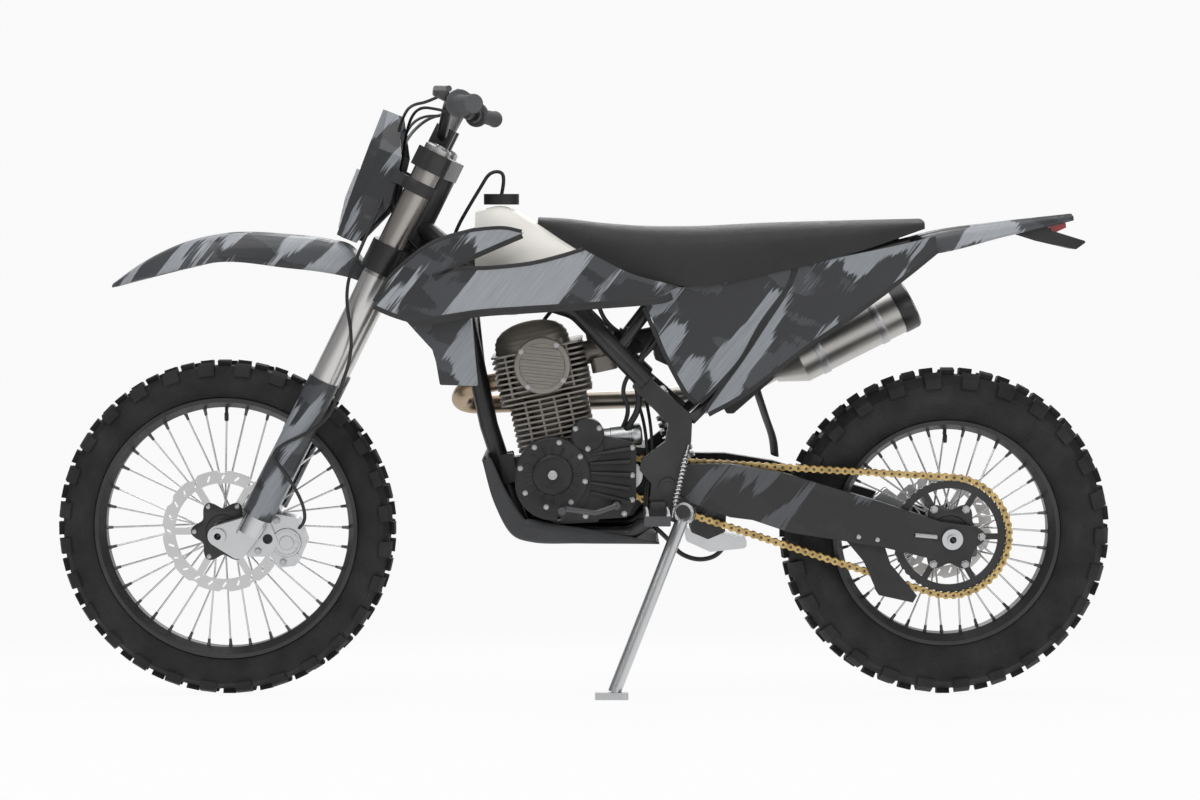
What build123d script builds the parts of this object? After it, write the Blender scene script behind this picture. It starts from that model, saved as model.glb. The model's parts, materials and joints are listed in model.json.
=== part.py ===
"""Enduro motorcycle, parked on its side stand.

Every piece is modelled upright in the bike's own frame (x forward, y to the rider's left, z up from
the line that both tyres touch) and is then leaned onto the stand as it is written.
"""

import os
from math import cos, degrees, hypot, pi, radians, sin, tan

from build123d import *

# Driving dimensions
WHEELBASE = 1480.0
LEAN_DEG = 10.0
FIT = 0.3

# Front end: rake of the steering axis, and distances square to it
RAKE_DEG = 26.7
FORK_OFFSET = 22.0
AXLE_LEAD = 52.0
FORK_HALF_SPACING = 108.0

# Wheels
FRONT_TYRE_R = 348.0
REAR_TYRE_R = 340.0
CROWN_R = 80.0
AXLE_R = 10.0
SPOKES_PER_WHEEL = 36
SPOKE_R = 2.0

# Final drive, 520 roller chain
CHAIN_PITCH = 15.875
CHAIN_Y = 72.0
CHAIN_HALF_WIDTH = 8.0
CHAIN_HALF_HEIGHT = 7.5
ROLLER_R = 5.1
REAR_TEETH = 48
DRIVE_TEETH = 14
DRIVE_SPROCKET_X = -85.0
DRIVE_SPROCKET_Z = 465.0

# Swingarm pivot
PIVOT_X = -165.0
PIVOT_Z = 450.0
PIVOT_R = 10.0

# Derived places
FRONT_AXLE = Vector(WHEELBASE / 2, 0, FRONT_TYRE_R)
REAR_AXLE = Vector(-WHEELBASE / 2, 0, REAR_TYRE_R)
RAKE = radians(RAKE_DEG)
STEER_FORWARD = Vector(cos(RAKE), 0, sin(RAKE))
STEER_UP = Vector(-sin(RAKE), 0, cos(RAKE))
# Steering frame: x square to the axis and forward, y left, z up the steering axis, axle at height 0
STEER = Plane(
    origin=FRONT_AXLE - STEER_FORWARD * (FORK_OFFSET + AXLE_LEAD),
    x_dir=STEER_FORWARD,
    z_dir=STEER_UP,
)
REAR_PITCH_R = CHAIN_PITCH / 2 / sin(pi / REAR_TEETH)
DRIVE_PITCH_R = CHAIN_PITCH / 2 / sin(pi / DRIVE_TEETH)

pieces = {}


def keep(builder, name):
    """Labels a finished piece and files it under its node name."""
    builder.part.label = name
    pieces[name] = builder.part


def side_plane(y=0.0):
    """A plane seen from the right: sketch x is forward, sketch y is up, and its normal points to -y."""
    return Plane(origin=(0, y, 0), x_dir=(1, 0, 0), z_dir=(0, -1, 0))


def cross_plane(x=0.0, z=0.0):
    """A plane across the bike at x: sketch x is to the left, sketch y is up."""
    return Plane(origin=(x, 0, z), x_dir=(0, 1, 0), z_dir=(1, 0, 0))


def steer_point(ahead, left, height):
    """A point given in the steering frame, in the bike's frame."""
    return STEER.from_local_coords(Vector(ahead, left, height))


def plate(points, y_low, y_high, corner=0.0, mode=Mode.ADD):
    """Adds a plate to the current part: a side outline with rounded corners between two y planes."""
    with BuildSketch(side_plane(y_high)) as outline:
        with BuildLine():
            Polyline(*points, close=True)
        make_face()
        if corner > 0:
            fillet(outline.vertices(), corner)
    extrude(outline.sketch, amount=y_high - y_low, mode=mode)


def tube(points, radius, bend, bore=0.0, mode=Mode.ADD):
    """Adds a round tube to the current part along straight runs joined by arcs."""
    with BuildLine() as path:
        if len(points) > 2:
            FilletPolyline(*points, radius=bend)
        else:
            Polyline(*points)
    with BuildSketch(Plane(origin=path.line @ 0, z_dir=path.line % 0)) as section:
        Circle(radius)
        if bore > 0:
            Circle(bore, mode=Mode.SUBTRACT)
    sweep(section.sketch, path=path.line, mode=mode)


def rod(start, end, radius, mode=Mode.ADD):
    """Adds, or cuts, a straight round bar between two points."""
    start, end = Vector(*start), Vector(*end)
    with BuildSketch(Plane(origin=start, z_dir=end - start)) as section:
        Circle(radius)
    extrude(section.sketch, amount=(end - start).length, mode=mode)


def ribbon_loft(sections, plane_at, mode=Mode.ADD):
    """Adds a thin curved panel: closed polygons, one for each station, joined by straight rulings."""
    faces = []
    for station, points in sections:
        with BuildSketch(plane_at(station)) as section:
            with BuildLine():
                Polyline(*points, close=True)
            make_face()
        faces.append(section.sketch.face())
    loft(faces, ruled=True, mode=mode)


# Wheels: tyre, rim, hub and spokes of each wheel come from one row
# name, axle, tyre radius, tread height, half width, bead radius, rim half width,
# hub half width, flange radius, lug pitches around the tyre
WHEELS = [
    ("front", FRONT_AXLE, FRONT_TYRE_R, 12.0, 44.0, 266.0, 25.0, 36.0, 34.0, 28),
    ("rear", REAR_AXLE, REAR_TYRE_R, 15.0, 57.0, 229.0, 33.0, 40.0, 42.0, 26),
]
LUG_SIDE = 6.0
LUG_STAGGER = 0.5
# Lug rows of one side of both tyres: inner and outer edge as shares of the half width, how far the lug
# runs down the side, its length around the tyre, and its place around the tyre as a share of the pitch
LUG_ROWS = [
    (0.04, 0.44, 0.0, 26.0, 0.0),
    (0.58, 0.94, 18.0, 32.0, 0.45),
]
RIM_DEPTH = 16.0
RIM_WALL = 4.0
SPOKE_SPREAD_DEG = 20.0
SPOKE_HEAD_STEP = 3.5
SPOKE_RIM_Y = 6.0
HUB_WAIST_SHARE = 0.72


def crown_height(tyre_radius, across):
    """The radius of the round crown that the lugs' tips reach, at a distance across the tread."""
    return tyre_radius - CROWN_R + (CROWN_R**2 - across**2) ** 0.5


def lug_section(tyre_radius, tread, half_width, inner, outer, side_drop, length):
    """The corners of one lug across the tyre: its tip on the crown, its foot inside the carcass."""
    rise = length**2 / 8 / tyre_radius
    middle = (inner + outer) / 2
    tips = [(share * half_width, crown_height(tyre_radius, share * half_width) - rise) for share in (inner, middle, outer)]
    foot = tips[0][1] - 1.6 * tread
    if side_drop > 0:
        tips.append((half_width - 1.0, tips[2][1] - side_drop))
        foot = tips[3][1] - 4
    return [(inner * half_width, foot)] + tips + [(outer * half_width - 8.0, foot)]


def carcass_section(radius, half_width, bead_radius, rim_half):
    """Closed section for the current sketch: flat crown, sloped shoulders, bulging walls and beads."""
    crown_edge = half_width * 0.5
    shoulder = (half_width * 0.96, radius - half_width * 0.36)
    wall_edge = (half_width, shoulder[1] - half_width * 0.7)
    wall_top = bead_radius + RIM_WALL + 1
    wall_middle = (half_width * 0.9, (wall_edge[1] * 0.5 + wall_top * 0.5))
    with BuildLine() as section:
        Line((-crown_edge, radius), (crown_edge, radius))
        for side in (-1, 1):
            Line((side * crown_edge, radius), (side * shoulder[0], shoulder[1]))
            Line((side * shoulder[0], shoulder[1]), (side * wall_edge[0], wall_edge[1]))
            ThreePointArc(
                (side * wall_edge[0], wall_edge[1]),
                (side * wall_middle[0], wall_middle[1]),
                (side * rim_half, wall_top),
            )
            Line((side * rim_half, wall_top), (side * rim_half, bead_radius))
        Line((-rim_half, bead_radius), (rim_half, bead_radius))
    make_face(section.edges())


def axle_plane(axle):
    """The upright plane through a wheel's axle: sketch x along the axle, sketch y outward."""
    return cross_plane(axle.X, axle.Z)


for wheel, axle, tyre_r, tread, half_w, bead_r, rim_half, hub_half, flange_r, lug_pitches in WHEELS:
    spin = Axis(axle, (0, 1, 0))

    # Lugs stand on the carcass with their tips on one round crown
    lugs = []
    for inner, outer, side_drop, length, phase in LUG_ROWS:
        with BuildPart() as lug:
            with BuildSketch(axle_plane(axle)):
                with BuildLine():
                    Polyline(*lug_section(tyre_r, tread, half_w, inner, outer, side_drop, length), close=True)
                make_face()
            extrude(amount=length / 2, both=True)
        for number in range(lug_pitches):
            lugs.append(lug.part.rotate(spin, 360.0 * (number + phase) / lug_pitches))
            lugs.append(lug.part.mirror(Plane.XZ).rotate(spin, 360.0 * (number + phase + LUG_STAGGER) / lug_pitches))
    with BuildPart() as tyre:
        with BuildSketch(axle_plane(axle)):
            carcass_section(tyre_r - tread, half_w - LUG_SIDE, bead_r, rim_half)
        revolve(axis=spin)
        add(lugs)
    keep(tyre, f"{wheel}_tyre")

    with BuildPart() as rim:
        with BuildSketch(axle_plane(axle)):
            with BuildLine():
                Polyline(
                    (-rim_half - RIM_WALL, bead_r + RIM_WALL),
                    (-rim_half - FIT, bead_r + RIM_WALL),
                    (-rim_half - FIT, bead_r - FIT),
                    (rim_half + FIT, bead_r - FIT),
                    (rim_half + FIT, bead_r + RIM_WALL),
                    (rim_half + RIM_WALL, bead_r + RIM_WALL),
                    (rim_half + RIM_WALL, bead_r - RIM_WALL),
                    (rim_half * 0.4, bead_r - RIM_DEPTH),
                    (-rim_half * 0.4, bead_r - RIM_DEPTH),
                    (-rim_half - RIM_WALL, bead_r - RIM_WALL),
                    close=True,
                )
            make_face()
        revolve(axis=spin)
    keep(rim, f"{wheel}_rim")

    with BuildPart() as hub:
        with BuildSketch(axle_plane(axle)):
            with BuildLine():
                Polyline(
                    (-hub_half, AXLE_R + FIT),
                    (-hub_half, flange_r),
                    (-hub_half + 8, flange_r),
                    (-hub_half + 14, flange_r * HUB_WAIST_SHARE),
                    (hub_half - 14, flange_r * HUB_WAIST_SHARE),
                    (hub_half - 8, flange_r),
                    (hub_half, flange_r),
                    (hub_half, AXLE_R + FIT),
                    close=True,
                )
            make_face()
        revolve(axis=spin)
    keep(hub, f"{wheel}_hub")

    with BuildPart() as spokes:
        per_side = SPOKES_PER_WHEEL // 2
        flange_y = hub_half - 4.0
        hub_reach = flange_r + SPOKE_R * 0.45 + FIT
        rim_reach = bead_r - RIM_DEPTH - 2 * FIT
        for number in range(SPOKES_PER_WHEEL):
            side = 1 if number % 2 == 0 else -1
            turn = number // 2
            lay = 1 if turn % 2 == 0 else -1
            rim_angle = radians(360.0 / per_side * turn + (side - 1) * 90.0 / per_side)
            hub_angle = rim_angle + lay * radians(SPOKE_SPREAD_DEG)
            start = axle + Vector(
                hub_reach * cos(hub_angle),
                side * flange_y + lay * SPOKE_HEAD_STEP,
                hub_reach * sin(hub_angle),
            )
            end = axle + Vector(
                rim_reach * cos(rim_angle), side * SPOKE_RIM_Y, rim_reach * sin(rim_angle)
            )
            rod(start, end, SPOKE_R)
    keep(spokes, f"{wheel}_spokes")


# Brake discs
# name, axle, outer radius, side plane y
DISC_THICK = 4.0
DISC_BAND = 26.0
DISC_CARRIER_R = 40.0
DISC_ARMS = 6
DISC_WAVES = 12
WAVE_OUT = 12.0
WAVE_DEPTH = 5.0
DISCS = [
    ("front_disc", FRONT_AXLE, 125.0, 56.0, WHEELS[0][7]),
    ("rear_disc", REAR_AXLE, 110.0, -60.0, WHEELS[1][7]),
]
for name, axle, disc_r, disc_y, hub_half in DISCS:
    with BuildPart() as disc:
        with BuildSketch(side_plane(disc_y + DISC_THICK / 2)):
            with Locations((axle.X, axle.Z)):
                Circle(disc_r)
                with PolarLocations(disc_r + WAVE_OUT, DISC_WAVES):
                    Circle(WAVE_OUT + WAVE_DEPTH, mode=Mode.SUBTRACT)
                with PolarLocations(disc_r - DISC_BAND * 0.55, 2 * DISC_WAVES):
                    SlotOverall(DISC_BAND * 0.5, 4, rotation=35, mode=Mode.SUBTRACT)
                Circle(disc_r - DISC_BAND, mode=Mode.SUBTRACT)
                Circle(DISC_CARRIER_R)
                with PolarLocations((disc_r - DISC_BAND + DISC_CARRIER_R) / 2, DISC_ARMS):
                    Rectangle(disc_r - DISC_BAND - DISC_CARRIER_R + 10, 14)
                Circle(AXLE_R + 12, mode=Mode.SUBTRACT)
        extrude(amount=DISC_THICK)
        # Carrier that seats on the hub's end face
        seat_y = hub_half + FIT if disc_y > 0 else -hub_half - FIT
        with BuildSketch(side_plane(max(seat_y, disc_y))):
            with Locations((axle.X, axle.Z)):
                Circle(DISC_CARRIER_R - 6)
                Circle(AXLE_R + 12, mode=Mode.SUBTRACT)
        extrude(amount=abs(disc_y - seat_y))
    keep(disc, name)


# Rear sprocket
SPROCKET_THICK = 6.0
SPROCKET_TIP_R = REAR_PITCH_R - ROLLER_R - FIT
SPROCKET_RING = 17.0
TOOTH_DEPTH = 2.4
SPROCKET_CARRIER_R = 56.0
SPROCKET_ARMS = 6
with BuildPart() as rear_sprocket:
    with BuildSketch(side_plane(CHAIN_Y + SPROCKET_THICK / 2)):
        with Locations((REAR_AXLE.X, REAR_AXLE.Z)):
            Circle(SPROCKET_TIP_R)
            with PolarLocations(REAR_PITCH_R, REAR_TEETH):
                Circle(ROLLER_R + TOOTH_DEPTH, mode=Mode.SUBTRACT)
            Circle(SPROCKET_TIP_R - SPROCKET_RING, mode=Mode.SUBTRACT)
            Circle(SPROCKET_CARRIER_R)
            with PolarLocations((SPROCKET_TIP_R - SPROCKET_RING + SPROCKET_CARRIER_R) / 2, SPROCKET_ARMS):
                Rectangle(SPROCKET_TIP_R - SPROCKET_RING - SPROCKET_CARRIER_R + 8, 12)
            Circle(AXLE_R + 14, mode=Mode.SUBTRACT)
    extrude(amount=SPROCKET_THICK)
    with BuildSketch(side_plane(CHAIN_Y)):
        with Locations((REAR_AXLE.X, REAR_AXLE.Z)):
            Circle(WHEELS[1][8] - 4)
            Circle(AXLE_R + 14, mode=Mode.SUBTRACT)
    extrude(amount=CHAIN_Y - WHEELS[1][7] - FIT)
keep(rear_sprocket, "rear_sprocket")


# Front axle, and fork in the steering frame
AXLE_HALF = 128.0
TUBE_R = 27.0
SLIDER_R = 24.0
TUBE_LOW = 344.0
TUBE_HIGH = 892.0
SLIDER_LOW = 30.0
SLIDER_HIGH = 425.0
FOOT_IN_Y = 88.0
FOOT_OUT_Y = 122.0
LOWER_CLAMP = (620.0, 680.0)
UPPER_CLAMP = (845.0, 885.0)
STEM_R = 17.5
HEAD_TUBE_R = 30.0
HEAD_GAP = 1.0
GUARD_IN_R = TUBE_R + 0.6
GUARD_OUT_R = GUARD_IN_R + 3.6
GUARD_LOW = 70.0
GUARD_HIGH = 378.0
AXLE_BORE_R = 7.0


def steer_side(y):
    """A side plane laid along the steering axis: sketch x forward, sketch y up the axis."""
    return Plane(origin=steer_point(0, y, 0), x_dir=STEER_FORWARD, z_dir=(0, -1, 0))


FORK_LEGS = [(FORK_OFFSET, FORK_HALF_SPACING), (FORK_OFFSET, -FORK_HALF_SPACING)]

with BuildPart() as front_axle:
    with BuildSketch(side_plane(AXLE_HALF)):
        with Locations((FRONT_AXLE.X, FRONT_AXLE.Z)):
            Circle(AXLE_R)
            Circle(AXLE_BORE_R, mode=Mode.SUBTRACT)
    extrude(amount=AXLE_HALF * 2)
    for outer in (AXLE_HALF, -FOOT_OUT_Y - FIT):
        with BuildSketch(side_plane(outer)):
            with Locations((FRONT_AXLE.X, FRONT_AXLE.Z)):
                Circle(16)
                Circle(AXLE_BORE_R, mode=Mode.SUBTRACT)
        extrude(amount=AXLE_HALF - FOOT_OUT_Y - FIT)
    # Spacers between the hub and the fork feet
    hub_half = WHEELS[0][7]
    for outer in (FOOT_IN_Y - FIT, -hub_half - FIT):
        with BuildSketch(side_plane(outer)):
            with Locations((FRONT_AXLE.X, FRONT_AXLE.Z)):
                Circle(16)
                Circle(AXLE_BORE_R, mode=Mode.SUBTRACT)
        extrude(amount=FOOT_IN_Y - hub_half - 2 * FIT)
keep(front_axle, "front_axle")

with BuildPart() as fork_tubes:
    with BuildSketch(STEER.offset(TUBE_LOW)):
        with Locations(*FORK_LEGS):
            Circle(TUBE_R)
    extrude(amount=TUBE_HIGH - TUBE_LOW)
    with BuildSketch(STEER.offset(TUBE_LOW)):
        with Locations(*FORK_LEGS):
            Circle(SLIDER_R + FIT)
    extrude(amount=SLIDER_HIGH - TUBE_LOW + 5, mode=Mode.SUBTRACT)
    with BuildSketch(STEER.offset(TUBE_HIGH)):
        with Locations(*FORK_LEGS):
            Circle(20)
    extrude(amount=8)
keep(fork_tubes, "fork_tubes")

with BuildPart() as fork_sliders:
    with BuildSketch(STEER.offset(SLIDER_LOW)):
        with Locations(*FORK_LEGS):
            Circle(SLIDER_R)
    extrude(amount=SLIDER_HIGH - SLIDER_LOW)
    for outer in (FOOT_OUT_Y, -FOOT_IN_Y):
        with BuildSketch(steer_side(outer)):
            with Locations((FORK_OFFSET, 45)):
                Circle(SLIDER_R)
            with Locations((FORK_OFFSET + 4, -8)):
                Circle(18)
            with Locations((FORK_OFFSET + AXLE_LEAD, 0)):
                Circle(21)
            make_hull()
        extrude(amount=FOOT_OUT_Y - FOOT_IN_Y)
    rod(FRONT_AXLE - Vector(0, 150, 0), FRONT_AXLE + Vector(0, 150, 0), AXLE_R + FIT, mode=Mode.SUBTRACT)
keep(fork_sliders, "fork_sliders")

with BuildPart() as fork_guards:
    for side in (1, -1):
        with BuildSketch(STEER.offset(GUARD_LOW)):
            with Locations((FORK_OFFSET, side * FORK_HALF_SPACING)):
                Circle(GUARD_OUT_R)
                Circle(GUARD_IN_R, mode=Mode.SUBTRACT)
                # Open towards the wheel
                with Locations((-8, -side * GUARD_OUT_R)):
                    Rectangle(2 * GUARD_OUT_R, 1.2 * GUARD_OUT_R, mode=Mode.SUBTRACT)
        extrude(amount=GUARD_HIGH - GUARD_LOW)
        # Foot tab that is bolted to the slider's foot
        with BuildSketch(steer_side(FOOT_OUT_Y + FIT + 4 if side > 0 else -FOOT_OUT_Y - FIT)):
            with Locations((FORK_OFFSET + 6, 52)):
                RectangleRounded(34, 62, 6)
        extrude(amount=4)
    for leg in FORK_LEGS:
        rod(steer_point(*leg, 0), steer_point(*leg, 400), GUARD_IN_R - 0.1, mode=Mode.SUBTRACT)
keep(fork_guards, "fork_guards")

with BuildPart() as triple_clamps:
    for low, high in (LOWER_CLAMP, UPPER_CLAMP):
        with BuildSketch(STEER.offset(low)):
            with Locations(*FORK_LEGS):
                Circle(TUBE_R + 10)
            with Locations((6, 0)):
                Circle(38)
            make_hull()
            with Locations(*FORK_LEGS):
                Circle(TUBE_R + FIT, mode=Mode.SUBTRACT)
            if low == UPPER_CLAMP[0]:
                Circle(STEM_R + FIT, mode=Mode.SUBTRACT)
        extrude(amount=high - low)
    with BuildSketch(STEER.offset(LOWER_CLAMP[1])):
        Circle(STEM_R)
    extrude(amount=UPPER_CLAMP[1] - LOWER_CLAMP[1])
    with BuildSketch(STEER.offset(UPPER_CLAMP[1] + FIT)):
        Circle(STEM_R)
    extrude(amount=-UPPER_CLAMP[1] + UPPER_CLAMP[0])
keep(triple_clamps, "triple_clamps")

# Handlebar, in the steering frame: half of its path from the clamp to the end
BAR_R = 11.0
BAR_AHEAD = 30.0
BAR_HEIGHT = UPPER_CLAMP[1] + 36.0
BAR_BEND = Vector(36, 190, BAR_HEIGHT + 62)
BAR_END = Vector(-21, 398, BAR_HEIGHT + 80)
BAR_HALF = [(BAR_AHEAD, 75, BAR_HEIGHT), tuple(BAR_BEND), tuple(BAR_END)]
bar_path = [(x, -y, z) for x, y, z in reversed(BAR_HALF)] + BAR_HALF
with BuildPart() as handlebar:
    tube([steer_point(*point) for point in bar_path], BAR_R, 60)
    # Risers and their caps on the upper clamp
    for side in (1, -1):
        with BuildSketch(STEER.offset(UPPER_CLAMP[1] + FIT)):
            with Locations((BAR_AHEAD, side * 48)):
                RectangleRounded(42, 26, 5)
        extrude(amount=BAR_HEIGHT + BAR_R + 6 - UPPER_CLAMP[1])
keep(handlebar, "handlebar")

GRIP_R = 16.5
GRIP_LENGTH = 122.0
FLANGE_R = 27.0
grip_run = (BAR_END - BAR_BEND).normalized()


def on_bar(distance, side):
    """A plane square to the bar's outer run, a given distance in from its end, facing outward."""
    spot = BAR_END - grip_run * distance
    return Plane(
        origin=steer_point(spot.X, side * spot.Y, spot.Z),
        z_dir=STEER.from_local_coords(Vector(grip_run.X, side * grip_run.Y, grip_run.Z)) - STEER.origin,
        x_dir=STEER_FORWARD,
    )


with BuildPart() as grips:
    for side in (1, -1):
        with BuildSketch(on_bar(GRIP_LENGTH, side)):
            Circle(GRIP_R)
            Circle(BAR_R + FIT, mode=Mode.SUBTRACT)
        extrude(amount=GRIP_LENGTH + 6)
        with BuildSketch(on_bar(GRIP_LENGTH, side)):
            Circle(FLANGE_R)
            Circle(BAR_R + FIT, mode=Mode.SUBTRACT)
        extrude(amount=5)
keep(grips, "grips")

# Lever perches with their levers, and the brake's master cylinder on the right
with BuildPart() as hand_controls:
    for side in (1, -1):
        with BuildSketch(on_bar(GRIP_LENGTH + 26, side)) as ring:
            Circle(BAR_R + 7)
            Circle(BAR_R + FIT, mode=Mode.SUBTRACT)
        extrude(amount=20)
        base = on_bar(GRIP_LENGTH + 26, side)
        with BuildSketch(base):
            with Locations((32, 0)):
                RectangleRounded(36, 16, 4)
        extrude(amount=20)
        # Blade: a bar alongside the grip, a hand's reach in front of it
        tube(
            [
                base.from_local_coords((48, 0, 10)),
                base.from_local_coords((60, 0, 70)),
                base.from_local_coords((58, 0, 175)),
            ],
            6,
            30,
        )
    brake = on_bar(GRIP_LENGTH + 26, -1)
    with BuildSketch(brake):
        with Locations((34, 0)):
            RectangleRounded(40, 34, 6)
    extrude(amount=-36)
keep(hand_controls, "hand_controls")


def from_front_axle(points):
    """Side-plane points given from the front axle."""
    return [(FRONT_AXLE.X + x, FRONT_AXLE.Z + z) for x, z in points]


# Front caliper: straddles the disc behind the left fork leg
CALIPER_GAP = 6.0
disc_mid = DISCS[0][3]
with BuildPart() as front_caliper:
    caliper_outline = from_front_axle(
        [(-85, -3), (-100, 40), (-155, 30), (-172, -18), (-150, -68), (-115, -72), (-90, -38)]
    )
    plate(caliper_outline, disc_mid - 22, disc_mid + 22, 8)
    with BuildSketch(side_plane(disc_mid + DISC_THICK / 2 + CALIPER_GAP)):
        with Locations((FRONT_AXLE.X, FRONT_AXLE.Z)):
            Circle(DISCS[0][2] + 8)
    extrude(amount=DISC_THICK + 2 * CALIPER_GAP, mode=Mode.SUBTRACT)
    # Bracket arm to the fork foot's inner face
    plate(
        from_front_axle([(-95, 32), (-60, 40), (-40, -8), (-50, -48), (-100, -48), (-115, -18)]),
        disc_mid + DISC_THICK / 2 + CALIPER_GAP + 4,
        FORK_HALF_SPACING - SLIDER_R - FIT,
        6,
    )
    rod(FRONT_AXLE, FRONT_AXLE + Vector(0, 150, 0), 22, mode=Mode.SUBTRACT)
keep(front_caliper, "front_caliper")

# Front fender, hung under the lower clamp: distance ahead of the axle, top z, half width, side drop
FENDER_SKIN = 3.5


def under_clamp(x):
    """The height of the lower clamp's underside at x, less the fit."""
    foot = steer_point(0, 0, LOWER_CLAMP[0])
    return foot.Z + (x - foot.X) * tan(RAKE) - FIT


FENDER_ROOT = -368.0
FENDER_NECK = -290.0
FENDER = [
    (FENDER_ROOT, under_clamp(FRONT_AXLE.X + FENDER_ROOT), 42.0, 16.0),
    (FENDER_NECK, under_clamp(FRONT_AXLE.X + FENDER_NECK), 58.0, 36.0),
    (-266.0, FRONT_AXLE.Z + 578.0, 64.0, 60.0),
    (-220.0, FRONT_AXLE.Z + 594.0, 68.0, 66.0),
    (-140.0, FRONT_AXLE.Z + 604.0, 72.0, 66.0),
    (0.0, FRONT_AXLE.Z + 606.0, 75.0, 56.0),
    (90.0, FRONT_AXLE.Z + 584.0, 66.0, 54.0),
    (170.0, FRONT_AXLE.Z + 544.0, 44.0, 30.0),
    (228.0, FRONT_AXLE.Z + 504.0, 16.0, 5.0),
]


def arch(half_width, drop, skin):
    """An inverted trough as a closed polygon: outer skin from left to right, then the inner one."""
    outer = [
        (half_width, -drop),
        (half_width * 0.86, -drop * 0.3),
        (half_width * 0.45, 0),
        (-half_width * 0.45, 0),
        (-half_width * 0.86, -drop * 0.3),
        (-half_width, -drop),
    ]
    inner = [(y * (1 - skin / half_width), z - skin) for y, z in reversed(outer)]
    return outer + inner


with BuildPart() as front_fender:
    ribbon_loft(
        [
            ((FRONT_AXLE.X + ahead, top), arch(half_width, drop, FENDER_SKIN))
            for ahead, top, half_width, drop in FENDER
        ],
        lambda station: cross_plane(*station),
    )
keep(front_fender, "front_fender")

# Headlight mask, a shell in front of the fork: height along its face, half width, depth
MASK_FOOT = FRONT_AXLE + Vector(-235, 0, 604)
MASK_TOP = FRONT_AXLE + Vector(-332, 0, 856)
MASK_UP = (MASK_TOP - MASK_FOOT).normalized()
MASK_SKIN = 4.0
MASK_HEIGHT = (MASK_TOP - MASK_FOOT).length
MASK = [(0.0, 62.0, 46.0), (0.36, 98.0, 86.0), (0.72, 96.0, 74.0), (1.0, 62.0, 36.0)]


def mask_plane(height):
    """A plane across the mask at a height up its face: sketch x forward, sketch y to the left."""
    return Plane(
        origin=MASK_FOOT + MASK_UP * height,
        x_dir=MASK_UP.cross(Vector(0, -1, 0)),
        z_dir=MASK_UP,
    )


def bow(half_width, depth, skin):
    """A bowed shell section, open to the rear, as a closed polygon."""
    outer = [
        (-depth, half_width),
        (-depth * 0.35, half_width * 0.94),
        (0, half_width * 0.5),
        (0, -half_width * 0.5),
        (-depth * 0.35, -half_width * 0.94),
        (-depth, -half_width),
    ]
    inner = [
        (-depth, -half_width + skin),
        (-depth * 0.35 - skin * 0.6, -half_width * 0.94 + skin),
        (-skin, -half_width * 0.5 + skin * 0.4),
        (-skin, half_width * 0.5 - skin * 0.4),
        (-depth * 0.35 - skin * 0.6, half_width * 0.94 - skin),
        (-depth, half_width - skin),
    ]
    return outer + inner


with BuildPart() as headlight_mask:
    ribbon_loft(
        [(share * MASK_HEIGHT, bow(half_width, depth, MASK_SKIN)) for share, half_width, depth in MASK],
        mask_plane,
    )
    # Stays that clip round the fork tubes
    for side in (1, -1):
        tube_side = side * FORK_HALF_SPACING
        with BuildSketch(STEER.offset(795)):
            with Locations((FORK_OFFSET, tube_side)):
                Circle(TUBE_R + 5)
                Circle(TUBE_R + FIT, mode=Mode.SUBTRACT)
            with Locations((FORK_OFFSET + TUBE_R + 16, side * (FORK_HALF_SPACING - 12))):
                Rectangle(30, 10)
        extrude(amount=24)
    for leg in FORK_LEGS:
        rod(steer_point(*leg, 780), steer_point(*leg, 840), TUBE_R + FIT, mode=Mode.SUBTRACT)
keep(headlight_mask, "headlight_mask")

# Lens on the mask's flat front: share of the mask's height, half width, bulge
LENS = [(0.05, 28.0, 4.0), (0.28, 40.0, 11.0), (0.52, 42.0, 9.0)]
with BuildPart() as headlight_lens:
    ribbon_loft(
        [
            (
                share * MASK_HEIGHT,
                [(FIT, half_width), (bulge, half_width * 0.6), (bulge, -half_width * 0.6), (FIT, -half_width)],
            )
            for share, half_width, bulge in LENS
        ],
        mask_plane,
    )
keep(headlight_lens, "headlight_lens")


# Side stand: pivot, foot, and the folded direction give its hinge
STAND_PIVOT = Vector(-198, 147, 398)
STAND_FOOT = Vector(-52, 232, 41)
STAND_FOLDED = Vector(-0.98, 0.17, 0.10)
stand_run = (STAND_FOOT - STAND_PIVOT).normalized()
stand_axis = stand_run.cross(STAND_FOLDED).normalized()
STAND_PIN_R = 8.0
STAND_PIN_IN = 30.0
STAND_PIN_OUT = 22.0

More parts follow.
